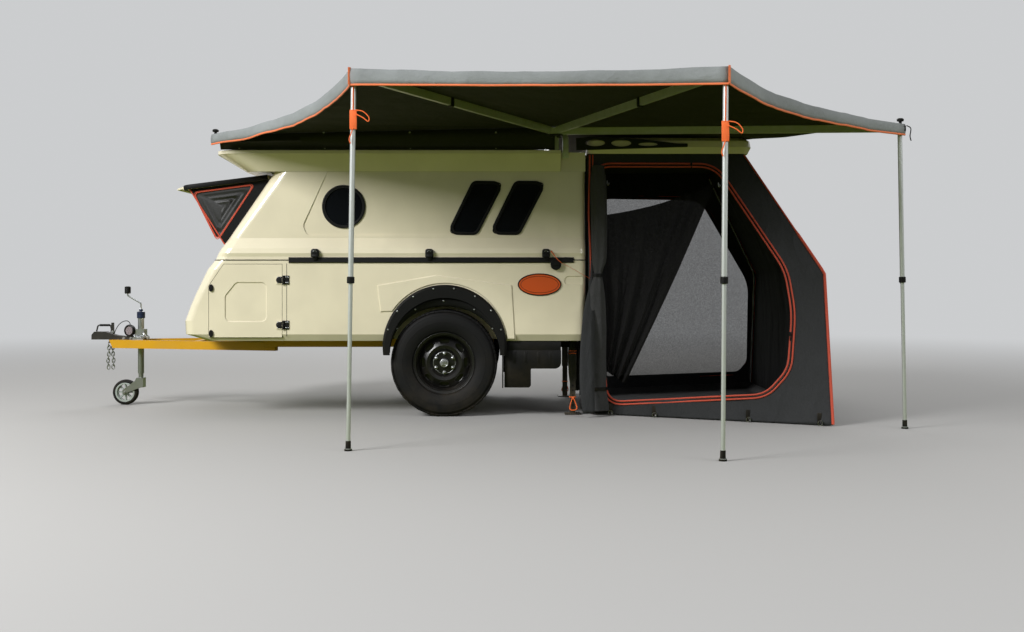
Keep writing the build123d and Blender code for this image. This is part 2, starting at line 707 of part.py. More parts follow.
with BuildPart() as window_glass:
    for turn in (-1, 1):
        extrude(window_sketch(turn * (window_face - 6), -seat_gap), amount=turn * 6)
window_glass.part.label = "window_glass"
export_step(window_glass.part, "parts/window_glass.step")

# Roof: a cap whose sides flare out to a lip, with a plain tail behind it
# Columns: height, front end, half width
roof_bottom = shell_top + seat_gap
roof_skin = 39.0
roof_sections = ((roof_bottom, 1342, upper_half_width + 4),
                 (roof_height - 34, 1146, upper_half_width + 60),
                 (roof_height - 28, 1137, upper_half_width + 66),
                 (roof_height - 5, 1137, upper_half_width + 66),
                 (roof_height, 1146, upper_half_width + 53))
ledge_rear = 3652.0
platform_front = 1500.0
platform_rear = 3300.0
platform_half_width = upper_half_width - 222
platform_rise = 8.0
with BuildPart() as roof:
    loft(sections=[plan_section(height, front, ledge_rear, half_width, 150, 6)
                   for height, front, half_width in roof_sections], ruled=True)
    with Locations(((ledge_rear - 20 + body_rear) / 2, 0, level(roof_bottom))):
        Box(body_rear - ledge_rear + 20, 2 * upper_half_width, roof_height - 15 - roof_bottom,
            align=(Align.CENTER, Align.CENTER, Align.MIN))
    with Locations(((1640 + body_rear - wall) / 2, 0, level(roof_bottom - 6))):
        Box(body_rear - wall - 1640, 2 * (upper_half_width - wall),
            roof_height - roof_skin - roof_bottom + 6,
            align=(Align.CENTER, Align.CENTER, Align.MIN), mode=Mode.SUBTRACT)
    with Locations((body_rear, 0, level(roof_bottom - 6))):
        Box(3 * wall, 2 * opening_half_width, opening_top - roof_bottom + 6,
            align=(Align.CENTER, Align.CENTER, Align.MIN), mode=Mode.SUBTRACT)
    with BuildSketch(Plane.XY.offset(level(roof_height))):
        with Locations(((platform_front + platform_rear) / 2, 0)):
            RectangleRounded(platform_rear - platform_front, 2 * platform_half_width, 60)
    extrude(amount=platform_rise, taper=45)
roof.part.label = "roof"
export_step(roof.part, "parts/roof.step")

# Rubber band over the seam and the over-centre latches across it
with BuildPart() as seam_band:
    with Locations(((1675 + 3745) / 2, -body_half_width - seat_gap, level(seam_height))):
        Box(2070, 12, 40, align=(Align.CENTER, Align.MAX, Align.CENTER))
    chamfer(seam_band.faces().sort_by(Axis.Y)[0].edges(), 4)
    mirror(about=Plane.XZ)
seam_band.part.label = "seam_band"
export_step(seam_band.part, "parts/seam_band.step")

latch_x = (1869.0, 2697.0, 3543.0)
# Section of a latch, as distance out from the side and rise above the seam
latch_section = ((8, 85), (8, 22), (13, 22), (13, -22), (1, -22), (1, -40), (22, -40), (34, -22),
                 (34, 60), (24, 85))
with BuildPart() as seam_latches:
    for x in latch_x:
        with BuildSketch(Plane.YZ.offset(x - 31)):
            with BuildLine():
                Polyline(*[(-body_half_width - out, level(seam_height + rise))
                           for out, rise in latch_section], close=True)
            make_face()
        extrude(amount=62)
    with Locations((3597, -body_half_width - seat_gap, level(seam_height - 49))):
        Cylinder(26, 22, rotation=(90, 0, 0), align=(Align.CENTER, Align.CENTER, Align.MIN))
    mirror(about=Plane.XZ)
seam_latches.part.label = "seam_latches"
export_step(seam_latches.part, "parts/seam_latches.step")

# Front bed hatch, propped open about a hinge under the roof's ledge
hatch_thickness = 32.0
hatch_length = 645.0
front_hatch_half = 690.0
hinge_lift = 20.0
front_hatch_closing = 49.0
hinge_drop = 30.0
front_hinge = rake_high - rake_run * hinge_drop + rake_normal * hinge_lift
rake_down = rake_plane.y_dir
y_axis = Axis((0, 0, 0), (0, 1, 0))
open_dir = rake_down.rotate(y_axis, front_hatch_closing)
open_normal = rake_normal.rotate(y_axis, front_hatch_closing)
hatch_plane = Plane(origin=front_hinge, x_dir=(0, 1, 0), z_dir=open_normal)

with BuildPart() as front_hatch:
    with BuildSketch(hatch_plane.offset(-hatch_thickness / 2)):
        with Locations((0, 12 + hatch_length / 2)):
            RectangleRounded(2 * front_hatch_half, hatch_length, 70)
    extrude(amount=hatch_thickness, taper=12)
    with BuildSketch(hatch_plane):
        with Locations((-450, 8), (450, 8)):
            Rectangle(90, 24)
    extrude(amount=6, both=True)
front_hatch.part.label = "front_hatch"
export_step(front_hatch.part, "parts/front_hatch.step")

with BuildPart() as front_hatch_hinges:
    for y in (-525, -375, 375, 525):
        with Locations((front_hinge.X, y, front_hinge.Z)):
            Cylinder(8, 44, rotation=(90, 0, 0))
    with BuildSketch(Plane(origin=front_hinge, x_dir=(0, 1, 0), z_dir=rake_normal).offset(
            -hinge_lift + seat_gap)):
        for y in (-525, -375, 375, 525):
            with Locations((y, 0)):
                Rectangle(44, 24)
    extrude(amount=hinge_lift - 4)
front_hatch_hinges.part.label = "front_hatch_hinges"
export_step(front_hatch_hinges.part, "parts/front_hatch_hinges.step")

gusset_y = 655.0
gusset_corners = (
    front_hinge + open_dir * 30 - open_normal * (hatch_thickness / 2 + 0.6),
    front_hinge + open_dir * 612 - open_normal * (hatch_thickness / 2 + 0.6),
    rake_high + rake_down * 650 + rake_normal * 0.6,
    rake_high + rake_down * 60 + rake_normal * 0.6,
)
with BuildPart() as front_gussets:
    with BuildSketch(Plane.XZ.offset(gusset_y)):
        with BuildLine():
            Polyline(*[(point.X, point.Z) for point in gusset_corners], close=True)
        make_face()
    extrude(amount=3)
    mirror(about=Plane.XZ)
front_gussets.part.label = "front_gussets"
export_step(front_gussets.part, "parts/front_gussets.step")

with BuildPart() as hatch_screen:
    with BuildSketch(rake_plane.offset(-15)):
        with Locations((0, (front_opening[0] + front_opening[1]) / 2)):
            RectangleRounded(2 * front_opening_half - 2 * seat_gap,
                             front_opening[1] - front_opening[0] - 2 * seat_gap, 60)
    extrude(amount=3)
hatch_screen.part.label = "hatch_screen"
export_step(hatch_screen.part, "parts/hatch_screen.step")

# Rear hatch: a dished panel hinged at the tail of the roof, held open level
rear_pivot = (body_rear + 6, roof_height - 24)
rear_hatch_front = rear_pivot[0] + 6
rear_hatch_rear = 5046.0
# Columns: height, gap from the front, gap from the rear, half width
rear_hatch_sections = ((roof_height - 24, 0, 22, upper_half_width),
                       (roof_height + 23, 0, 0, hatch_half_width),
                       (roof_height + 69, 4, 8, upper_half_width + 10),
                       (roof_height + 95, 34, 42, upper_half_width - 24))
skin = 28.0
with BuildPart() as rear_hatch:
    loft(sections=[plan_section(height, rear_hatch_front + front, rear_hatch_rear - rear,
                                half_width, 60, 75)
                   for height, front, rear, half_width in rear_hatch_sections], ruled=True)
    loft(sections=[plan_section(height, rear_hatch_front + skin, rear_hatch_rear - 22 - skin,
                                half_width, 40, 50)
                   for height, half_width in ((roof_height - 24, upper_half_width - skin),
                                              (roof_height + 67, upper_half_width - 12 - skin))],
         ruled=True, mode=Mode.SUBTRACT)
rear_hatch.part.label = "rear_hatch"
export_step(rear_hatch.part, "parts/rear_hatch.step")

# Slotted lift arms on the hatch's sides
arm_y = hatch_half_width + seat_gap
arm_outline = ((-68, 1), (-68, 87), (20, 97), (410, 81), (670, 49), (744, 49), (744, 23), (650, 21),
               (30, 1))
with BuildPart() as hatch_arms:
    with BuildSketch(Plane.XZ.offset(arm_y)) as arm_side:
        with BuildLine():
            Polyline(*[(body_rear + reach, level(roof_height + rise))
                       for reach, rise in arm_outline], close=True)
        make_face()
        fillet(arm_side.vertices(), 6)
        with Locations((body_rear + 70, level(roof_height + 53)),
                       (body_rear + 260, level(roof_height + 51))):
            Ellipse(72, 24, mode=Mode.SUBTRACT)
        with Locations((body_rear + 455, level(roof_height + 43))):
            Ellipse(70, 12, mode=Mode.SUBTRACT)
    extrude(amount=8)
    mirror(about=Plane.XZ)
hatch_arms.part.label = "hatch_arms"
export_step(hatch_arms.part, "parts/hatch_arms.step")

with BuildPart() as rear_hinge:
    with Locations((rear_pivot[0], 0, level(rear_pivot[1]))):
        Cylinder(rear_hatch_front - rear_pivot[0] - seat_gap, 1400, rotation=(90, 0, 0))
    with Locations(((body_rear + rear_pivot[0]) / 2 + seat_gap / 2, 0, level(rear_pivot[1] - 10))):
        Box(rear_pivot[0] - body_rear - seat_gap, 1400, 26)
rear_hinge.part.label = "rear_hinge"
export_step(rear_hinge.part, "parts/rear_hinge.step")

# Inside: bed deck on the locker wall, mattress and the galley behind
deck_thickness = 18.0
with BuildPart() as bed_deck:
    extrude(plan_section(deck_bottom, 1165, body_rear - wall - 40, body_half_width - wall - seat_gap,
                         60, 10), amount=deck_thickness)
bed_deck.part.label = "bed_deck"
export_step(bed_deck.part, "parts/bed_deck.step")

with BuildPart() as mattress:
    extrude(plan_section(deck_bottom + deck_thickness + seat_gap, 1300, 3150,
                         body_half_width - 100, 60, 60),
            amount=105)
mattress.part.label = "mattress"
export_step(mattress.part, "parts/mattress.step")

galley_front = 3340.0
galley_rear = body_rear - wall - 14
galley_bottom = body_bottom + wall + seat_gap
drawer_edges = [between(galley_bottom, deck_bottom, share) for share in (0.3239, 0.5364, 0.749)]
with BuildPart() as galley:
    with Locations(((galley_front + galley_rear) / 2, 0, level(galley_bottom))):
        Box(galley_rear - galley_front, 2 * opening_half_width - 20, deck_bottom - seat_gap - galley_bottom,
            align=(Align.CENTER, Align.CENTER, Align.MIN))
    for height in drawer_edges:
        with Locations((galley_rear, 0, level(height))):
            Box(8, 2 * opening_half_width - 80, 6, mode=Mode.SUBTRACT)
    for y in (-opening_half_width / 2, 0, opening_half_width / 2):
        with Locations((galley_rear, y, level(between(galley_bottom, deck_bottom, 0.633)))):
            Box(8, 6, 0.63 * (deck_bottom - galley_bottom), mode=Mode.SUBTRACT)
galley.part.label = "galley"
export_step(galley.part, "parts/galley.step")

# Fittings on the body: plain oval plates, tail lamps and the nose handle
plate_x = 3496.0
plate_height = between(body_bottom, seam_height, 0.6973)
with BuildPart() as oval_plates:
    with BuildSketch(Plane.XZ.offset(body_half_width + seat_gap)):
        with Locations((plate_x, level(plate_height))):
            Ellipse(158, 81)
    extrude(amount=5)
    mirror(about=Plane.XZ)
oval_plates.part.label = "oval_plates"
export_step(oval_plates.part, "parts/oval_plates.step")

lamp_y = body_half_width - 165
with BuildPart() as tail_lamps:
    with BuildSketch(Plane.YZ.offset(body_rear + seat_gap)):
        with Locations((-lamp_y, level(640)), (lamp_y, level(640))):
            RectangleRounded(200, 90, 20)
    extrude(amount=24, taper=15)
tail_lamps.part.label = "tail_lamps"
export_step(tail_lamps.part, "parts/tail_lamps.step")

with BuildPart() as nose_handle:
    with BuildSketch(Plane.XZ.offset(-60)):
        with BuildLine():
            Polyline((945, level(804)), (917, level(776)), (895, level(788)), (901, level(822)),
                     (961, level(886)), (979, level(884)), close=True)
        make_face()
    extrude(amount=120)
nose_handle.part.label = "nose_handle"
export_step(nose_handle.part, "parts/nose_handle.step")

# Steady legs under the tail
leg_width = 41.0
leg_top = rail_top - rail_depth + 5 - seat_gap
with BuildPart() as steady_legs:
    with Locations((leg_x, -leg_y, level(0))):
        Box(120, 120, 8, align=(Align.CENTER, Align.CENTER, Align.MIN))
        Box(leg_width, leg_width, leg_top, align=(Align.CENTER, Align.CENTER, Align.MIN))
    with Locations((leg_x, -leg_y, level(260))):
        Box(leg_width + 10, leg_width + 10, leg_top - 260,
            align=(Align.CENTER, Align.CENTER, Align.MIN))
    mirror(about=Plane.XZ)
steady_legs.part.label = "steady_legs"
export_step(steady_legs.part, "parts/steady_legs.step")

# Awning: a bag along the roof's edge, a hub bracket with five arms, three poles
bag_front = 1197.0
bag_rear = 3530.0
bag_outer_y = upper_half_width + 43
bag_width = 120.0
bag_height = 144.0
with BuildPart() as awning_bag:
    with BuildSketch(Plane.YZ.offset(bag_front)):
        with Locations((-bag_outer_y + bag_width / 2,
                        level(roof_height + seat_gap + bag_height / 2))):
            RectangleRounded(bag_width, bag_height, 35)
    extrude(amount=bag_rear - bag_front)
awning_bag.part.label = "awning_bag"
export_step(awning_bag.part, "parts/awning_bag.step")

hub = Vector(3600, -upper_half_width - 73, level(roof_height + 161))
# Corners of the canopy from the hub, as runs to the rear and out, and rise above the roof
canopy_rim = [Vector(hub.X + reach, hub.Y - out, level(roof_height + rise))
              for reach, out, rise in ((-2473, 20, 106), (-1244, 1835, 293), (889, 2225, 241),
                                       (2298, 785, 92), (0, -1835, 139))]
canopy_sag = (-170.0, -40.0, -150.0, 0.0)
fabric = 3.0
valance_drop = 85.0
panel_gap = 0.9998
arm_width = 25.0
arm_depth = 50.0
arm_drop = Vector(0, 0, -(fabric + 1.4 + arm_depth / 2))

with BuildPart() as awning_arms:
    for corner in canopy_rim:
        run = corner - hub
        with BuildSketch(bar_plane(hub + arm_drop, corner + arm_drop)):
            Rectangle(arm_width, arm_depth)
        extrude(amount=run.length - 90)
    with Locations(hub + arm_drop):
        Cylinder(62, arm_depth - 4)
    with Locations((hub.X, -bag_outer_y, level(roof_height + seat_gap))):
        Box(70, 8, 128, align=(Align.CENTER, Align.CENTER, Align.MIN))
    with Locations((hub.X, -bag_outer_y + 19, level(roof_height + seat_gap))):
        Box(70, 46, 8, align=(Align.CENTER, Align.CENTER, Align.MIN))
awning_arms.part.label = "awning_arms"
export_step(awning_arms.part, "parts/awning_arms.step")

pole_feet = (Vector(2335, -2690, level(0)), Vector(4465, -3100, level(0)),
             Vector(5934, -1600, level(0)))
pole_radius = 12.5
pole_sleeve_radius = 15.5
sleeve_height = 985.0
with BuildPart() as awning_poles:
    for foot, corner in zip(pole_feet, canopy_rim[1:4]):
        inward = (hub - corner).normalized()
        head = corner + inward * 34 - Vector(0, 0, fabric + 1.6)
        run = head - foot
        lean = run.normalized()
        with Locations(foot):
            Cylinder(22, 14, align=(Align.CENTER, Align.CENTER, Align.MIN))
        with Locations(Plane(origin=foot + lean * 10, z_dir=run)):
            Cylinder(pole_radius, run.length - 10, align=(Align.CENTER, Align.CENTER, Align.MIN))
        with Locations(Plane(origin=foot + lean * sleeve_height, z_dir=run)):
            Cylinder(pole_sleeve_radius, run.length - sleeve_height - 2,
                     align=(Align.CENTER, Align.CENTER, Align.MIN))
            Cylinder(21, 34, align=(Align.CENTER, Align.CENTER, Align.MIN))
awning_poles.part.label = "awning_poles"
export_step(awning_poles.part, "parts/awning_poles.step")


def panel_plane(first, second):
    """Plane of the fabric between two arms, its X axis along the first."""
    return Plane(origin=hub, x_dir=first - hub, z_dir=(first - hub).cross(second - hub))


def fabric_panel(first, second, sag, grow):
    """Sketch of one panel, its outer edge drawn in by sag, its corners moved by grow."""
    plane = panel_plane(first, second)
    with BuildSketch(plane) as panel:
        corners = [plane.to_local_coords(point + (hub - point).normalized() * grow)
                   for point in (first, second)]
        centre = (corners[0] + corners[1]) / 3
        tip, near, far = [centre + (point - centre) * panel_gap
                          for point in (Vector(0, 0, 0), corners[0], corners[1])]
        with BuildLine():
            Line(tip, near)
            if sag:
                SagittaArc(near, far, -sag)
            else:
                Line(near, far)
            Line(far, tip)
        make_face()
    return panel.sketch


down = (0, 0, -1)
with BuildPart() as awning_canopy:
    for first, second, sag in zip(canopy_rim, canopy_rim[1:], canopy_sag):
        extrude(fabric_panel(first, second, sag, 0), amount=fabric, dir=down)
awning_canopy.part.label = "awning_canopy"
export_step(awning_canopy.part, "parts/awning_canopy.step")

with BuildPart() as awning_valance:
    for first, second, sag in list(zip(canopy_rim, canopy_rim[1:], canopy_sag))[:3]:
        lowered = Location((0, 0, -fabric - seat_gap))
        extrude(lowered * fabric_panel(first, second, sag, 1), amount=valance_drop, dir=down)
    for first, second, sag in list(zip(canopy_rim, canopy_rim[1:], canopy_sag))[:3]:
        lifted = Location((0, 0, fabric))
        extrude(lifted * fabric_panel(first, second, sag, 1 + fabric * 2),
                amount=valance_drop + 4 * fabric, dir=down, mode=Mode.SUBTRACT)
awning_valance.part.label = "awning_valance"
export_step(awning_valance.part, "parts/awning_valance.step")

# Fabric room below the rear hatch
# Columns: height, front X, half width at the front, rear X, half width at the rear
room_sections = ((6, body_rear + 40, 700, 5483, 1480),
                 (1045, body_rear + 22, upper_half_width + 23, 5480, 1250),
                 (rear_pivot[1] - seat_gap, body_rear + 16, upper_half_width, 4985,
                  upper_half_width - 7))
room_fabric = 4.0
door_opening = ((4002, 104), (3910, roof_height - 124), (4762, roof_height - 128), (5209, 1060),
                (5247, 770), (5208, 381), (5060, 205))
far_window = ((4050, 160), (4050, roof_height - 299), (4880, roof_height - 299), (5300, 950),
              (5330, 250), (5260, 160))


def room_section(row, inset, front_reach):
    """Outline of the room at one level, moved in by inset and open at the front."""
    height, front, front_half, rear, rear_half = row
    with BuildSketch(Plane.XY.offset(level(height))) as outline:
        with BuildLine():
            Polyline((front - front_reach, -front_half + inset), (rear - inset, -rear_half + inset),
                     (rear - inset, rear_half - inset), (front - front_reach, front_half - inset),
                     close=True)
        make_face()
    return outline.sketch


with BuildPart() as annex:
    loft(sections=[room_section(row, 0, 0) for row in room_sections], ruled=True)
    loft(sections=[room_section(row, room_fabric, 1) for row in room_sections], ruled=True,
         mode=Mode.SUBTRACT)
    extrude(side_sketch(400, door_opening), amount=1400, mode=Mode.SUBTRACT)
    extrude(side_sketch(-1800, far_window), amount=1400, mode=Mode.SUBTRACT)
annex.part.label = "annex"
export_step(annex.part, "parts/annex.step")

# Net behind the far wall's window, against the wall's inside
net_thickness = 2.0
net_lap = 12.0
with BuildPart() as annex_net:
    net_inset = room_fabric + seat_gap
    loft(sections=[room_section(row, net_inset, 0) for row in room_sections], ruled=True)
    loft(sections=[room_section(row, net_inset + net_thickness, 1) for row in room_sections],
         ruled=True, mode=Mode.SUBTRACT)
    with BuildSketch(Plane.XZ.offset(-1800)):
        with BuildLine():
            Polyline(*[(x, level(height)) for x, height in far_window], close=True)
        make_face()
        offset(amount=net_lap, kind=Kind.INTERSECTION)
    extrude(amount=1400, mode=Mode.INTERSECT)
annex_net.part.label = "annex_net"
export_step(annex_net.part, "parts/annex_net.step")

annex_pole_radius = 8.0
with BuildPart() as annex_poles:
    with BuildLine() as frame_path:
        FilletPolyline((5461, -1447.8, level(12)), (5458, -1233.8, level(1040)),
                       (4996, -upper_half_width + 19.2, level(roof_height - 79)), radius=60)
    with BuildSketch(frame_path.line ^ 0):
        Circle(annex_pole_radius)
    sweep()
    mirror(about=Plane.XZ)
annex_poles.part.label = "annex_poles"
export_step(annex_poles.part, "parts/annex_poles.step")
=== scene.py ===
"""Looks of a compact off-road camper trailer, set up at camp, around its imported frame.

Lengths are metres in the part's own frame: X to the rear, Z up, the camera's side is -Y, and the
origin is the centre of the towing ball's socket. Heights above the ground go through up().
"""

from __future__ import annotations

import json
import logging
from dataclasses import dataclass
from enum import IntEnum
from math import atan2, copysign, cos, exp, pi, radians, sin, tau
from typing import Callable, Optional, Sequence

import bmesh
import bpy
from mathutils import Matrix, Vector, noise

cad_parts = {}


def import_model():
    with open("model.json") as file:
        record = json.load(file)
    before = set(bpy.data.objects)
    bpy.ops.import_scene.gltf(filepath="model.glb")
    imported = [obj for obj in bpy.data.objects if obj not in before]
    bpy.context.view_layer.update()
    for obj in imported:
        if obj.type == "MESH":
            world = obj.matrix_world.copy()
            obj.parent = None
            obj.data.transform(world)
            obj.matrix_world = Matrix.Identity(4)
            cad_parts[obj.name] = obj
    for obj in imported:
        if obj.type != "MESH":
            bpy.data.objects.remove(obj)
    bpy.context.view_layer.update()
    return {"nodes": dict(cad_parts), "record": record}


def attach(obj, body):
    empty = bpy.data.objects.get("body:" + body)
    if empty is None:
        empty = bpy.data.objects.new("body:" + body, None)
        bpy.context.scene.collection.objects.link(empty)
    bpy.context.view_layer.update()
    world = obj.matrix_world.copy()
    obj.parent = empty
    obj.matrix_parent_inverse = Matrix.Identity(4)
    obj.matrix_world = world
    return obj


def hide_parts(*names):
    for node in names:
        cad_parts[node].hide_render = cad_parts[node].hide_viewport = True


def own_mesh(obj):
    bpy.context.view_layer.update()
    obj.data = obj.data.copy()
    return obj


log = logging.getLogger("camper")

COUPLING_HEIGHT = 0.54
GROUND = -COUPLING_HEIGHT
BODY_SIDE = 0.9
# Two and three numbers: mostly a point of a plane and a point in space
Flat = tuple[float, float]
Spot = tuple[float, float, float]
Color = Spot
Piece = bpy.types.Object
Socket = bpy.types.NodeSocket
Sockets = dict[str, Socket]


def up(height: float) -> float:
    """Z of a height above the ground."""
    return height - COUPLING_HEIGHT


def linear(red: int, green: int, blue: int) -> Color:
    """Scene colour of a display colour.

    Args:
        red, green, blue: display values from 0 to 255.

    Returns:
        The three linear values.
    """

    def channel(value: int) -> float:
        """Linear value of one channel."""
        share = value / 255
        return share / 12.92 if share <= 0.04045 else ((share + 0.055) / 1.055) ** 2.4

    return channel(red), channel(green), channel(blue)


CREAM = linear(227, 218, 192)
OCHRE = linear(204, 150, 8)
CHARCOAL = linear(47, 48, 50)
CANOPY_GREY = linear(140, 144, 146)
DUST = linear(150, 132, 100)


class Side(IntEnum):
    """Which side of the trailer a piece is on, as the sign of its Y."""

    LEFT = -1
    RIGHT = 1

    @property
    def word(self) -> str:
        """The side's word as the frame's names use it."""
        return self.name.lower()


class Shape:
    """Vertices, faces and texture places gathered for one mesh."""

    def __init__(self) -> None:
        """Starts empty."""
        self.verts: list[Vector] = []
        self.faces: list[tuple[int, ...]] = []
        self.uvs: list[Optional[list[Flat]]] = []

    def grid(self, rows: Sequence[Sequence[Vector]], loop_rows: bool = False,
             loop_columns: bool = False,
             uv: Optional[Sequence[Sequence[Flat]]] = None) -> "Shape":
        """Adds quads between rows of points.

        Args:
            rows: rows of as many points each.
            loop_rows: whether the last row joins the first.
            loop_columns: whether each row's end joins its start.
            uv: texture places in metres, one for each point.

        Returns:
            The shape itself.
        """
        start, wide = len(self.verts), len(rows[0])
        for row in rows:
            self.verts.extend(Vector(point) for point in row)
        for i in range(len(rows) - (0 if loop_rows else 1)):
            for j in range(wide - (0 if loop_columns else 1)):
                near, far = i, (i + 1) % len(rows)
                left, right = j, (j + 1) % wide
                pairs = ((near, left), (near, right), (far, right), (far, left))
                self.faces.append(tuple(start + a * wide + b for a, b in pairs))
                self.uvs.append([uv[a][b] for a, b in pairs] if uv else None)
        return self

    def surface(self, down: int, across: int,
                spot: Callable[[float, float], tuple[Sequence[float], Flat]]) -> "Shape":
        """Adds a sheet that is worked out point by point.

        Args:
            down: steps from the first row to the last.
            across: steps along a row.
            spot: gives the point and its texture place for the shares down and across.

        Returns:
            The shape itself.
        """
        made = [[spot(i / down, j / across) for j in range(across + 1)] for i in range(down + 1)]
        return self.grid([[point for point, _ in row] for row in made],
                         uv=[[place for _, place in row] for row in made])

    def capped(self, rows: Sequence[Sequence[Vector]],
               uv: Optional[Sequence[Sequence[Flat]]] = None) -> "Shape":
        """Adds a skin over closed rows, its first and last row filled."""
        return self.grid(rows, loop_columns=True, uv=uv).fill(rows[0], flip=True).fill(rows[-1])

    def fill(self, points: Sequence[Vector], flip: bool = False) -> "Shape":
        """Adds one flat face."""
        start = len(self.verts)
        self.verts.extend(Vector(point) for point in points)
        order = tuple(range(start, start + len(points)))
        self.faces.append(order[::-1] if flip else order)
        self.uvs.append(None)
        return self

    def tube(self, points: Sequence[Vector], radius: float | Sequence[float], sides: int = 10,
             loop: bool = False, flat: float = 1.0) -> "Shape":
        """Adds a round bar along points, its ends closed.

        Args:
            points: the bar's middle line.
            radius: one radius, or one for each point.
            sides: faces around the bar.
            loop: whether the last point joins the first.
            flat: height of the section as a share of its width.

        Returns:
            The shape itself.
        """
        points = [Vector(point) for point in points]
        count = len(points)
        radii = [radius] * count if isinstance(radius, (int, float)) else list(radius)
        rows, side = [], None
        for i, point in enumerate(points):
            after = points[(i + 1) % count] if loop else points[min(i + 1, count - 1)]
            before = points[(i - 1) % count] if loop else points[max(i - 1, 0)]
            along = (after - before).normalized()
            if side is None:
                side = along.orthogonal() if abs(along.z) > 0.9 else along.cross((0, 0, 1))
            side = (side - along * side.dot(along)).normalized()
            over = along.cross(side)
            rows.append([point + (side * cos(a) + over * sin(a) * flat) * radii[i]
                         for a in turns(sides)])
        return self.grid(rows, loop_rows=True, loop_columns=True) if loop else self.capped(rows)

    def revolve(self, profile: Sequence[Flat], place: Matrix,
                steps: int = 32, closed: bool = False) -> "Shape":
        """Adds a turned form about the place's Z axis.

        Args:
            profile: (radius, height) points along the axis.
            place: the turned form's own frame.
            steps: faces around the axis.
            closed: whether the profile's end joins its start.

        Returns:
            The shape itself.
        """
        rows = [[place @ Vector((radius * cos(a), radius * sin(a), along))
                 for a in turns(steps)]
                for radius, along in profile]
        return self.grid(rows, loop_rows=closed, loop_columns=True)

    def prism(self, outline: Sequence[Flat], place: Matrix, depth: float,
              bevel: float = 0.0, segments: int = 2) -> "Shape":
        """Adds a plate cut to an outline, its edges rounded.

        Args:
            outline: corners in the place's XY plane.
            place: the plate's own frame, its thickness along Z.
            depth: thickness, half to each side of the plane.
            bevel: radius of the rounded edges.
            segments: faces across a rounded edge.

        Returns:
            The shape itself.
        """
        bm = bmesh.new()
        base = bm.faces.new([bm.verts.new((x, y, -depth / 2)) for x, y in outline])
        raised = bmesh.ops.extrude_face_region(bm, geom=[base])
        top = [item for item in raised["geom"] if isinstance(item, bmesh.types.BMVert)]
        bmesh.ops.translate(bm, verts=top, vec=(0, 0, depth))
        bmesh.ops.recalc_face_normals(bm, faces=bm.faces)
        if bevel:
            bmesh.ops.bevel(bm, geom=list(bm.edges), offset=bevel, segments=segments,
                            affect="EDGES", profile=0.5, clamp_overlap=True)
        start = len(self.verts)
        bm.verts.index_update()
        self.verts.extend(place @ vert.co for vert in bm.verts)
        for face in bm.faces:
            self.faces.append(tuple(start + vert.index for vert in face.verts))
            self.uvs.append(None)
        bm.free()
        return self

    def block(self, place: Matrix, size: Sequence[float], bevel: float = 0.002) -> "Shape":
        """Adds a rounded block of a size about the place's origin."""
        x, y, z = (value / 2 for value in size)
        return self.prism(((-x, -y), (x, -y), (x, y), (-x, y)), place, 2 * z, bevel)

    def mesh(self, name: str) -> bpy.types.Mesh:
        """The bare mesh."""
        mesh = bpy.data.meshes.new(name)
        mesh.from_pydata([tuple(v) for v in self.verts], [], self.faces)
        return mesh

    def build(self, name: str, finish: "Finish", sharp: float = 35.0) -> Piece:
        """Makes the object.

        Args:
            name: the piece's name.
            finish: the finish it is dressed in.
            sharp: angle in degrees past which an edge stays sharp.

        Returns:
            The mesh object, linked to the scene.
        """
        mesh = self.mesh(name)
        layer = mesh.uv_layers.new(name="UVMap")
        for polygon, places in zip(mesh.polygons, self.uvs):
            normal = polygon.normal
            axis = max(range(3), key=lambda k: abs(normal[k]))
            u_axis, v_axis = ((1, 2), (0, 2), (0, 1))[axis]
            for k, loop_index in enumerate(polygon.loop_indices):
                point = mesh.vertices[mesh.loops[loop_index].vertex_index].co
                layer.data[loop_index].uv = places[k] if places else (point[u_axis], point[v_axis])
        mesh.shade_smooth()
        mesh.set_sharp_from_angle(angle=radians(sharp))
        mesh.materials.append(finish.material())
        return placed(name, mesh)


def placed(name: str, data: bpy.types.ID) -> Piece:
    """Object of some data, linked to the scene."""
    piece = bpy.data.objects.new(name, data)
    bpy.context.scene.collection.objects.link(piece)
    return piece


def facing(origin: Sequence[float], normal: Sequence[float],
           across: Sequence[float] = (1, 0, 0)) -> Matrix:
    """Frame at a point with its Z along a normal.

    Args:
        origin: the frame's origin.
        normal: direction of its Z axis.
        across: direction that its X axis keeps nearest to.

    Returns:
        The frame as a matrix.
    """
    z_axis = Vector(normal).normalized()
    x_axis = Vector(across) - z_axis * z_axis.dot(Vector(across))
    if x_axis.length < 1e-6:
        x_axis = z_axis.orthogonal()
    x_axis.normalize()
    turned = Matrix((x_axis, z_axis.cross(x_axis), z_axis)).transposed().to_4x4()
    return Matrix.Translation(Vector(origin)) @ turned


def flank(side: Side, x: float, y: float, height: float) -> Matrix:
    """Frame beside the middle plane, its Z axis outward."""
    return facing(mirrored(side, x, y, height), (0, side, 0))


def mirrored(side: Side, x: float, y: float, height: float) -> Vector:
    """Point beside the middle plane."""
    return Vector((x, side * y, up(height)))


def smooth_line(points: Sequence[Sequence[float]], count: int) -> list[Vector]:
    """Points along a smooth curve through given points.

    Args:
        points: points that the curve passes through.
        count: how many points to give for each span.

    Returns:
        The curve's points, the ends among them.
    """
    spots = [Vector(point) for point in points]
    spots = [2 * spots[0] - spots[1]] + spots + [2 * spots[-1] - spots[-2]]
    line = []
    for before, start, end, after in zip(spots, spots[1:], spots[2:], spots[3:]):
        for step in range(count):
            t = step / count
            line.append(0.5 * ((2 * start) + (end - before) * t
                               + (2 * before - 5 * start + 4 * end - after) * t ** 2
                               + (3 * start - 3 * end - before + after) * t ** 3))
    line.append(spots[-2])
    return line


def turns(count: int) -> list[float]:
    """Angles of a full turn cut into equal steps."""
    return [tau * k / count for k in range(count)]


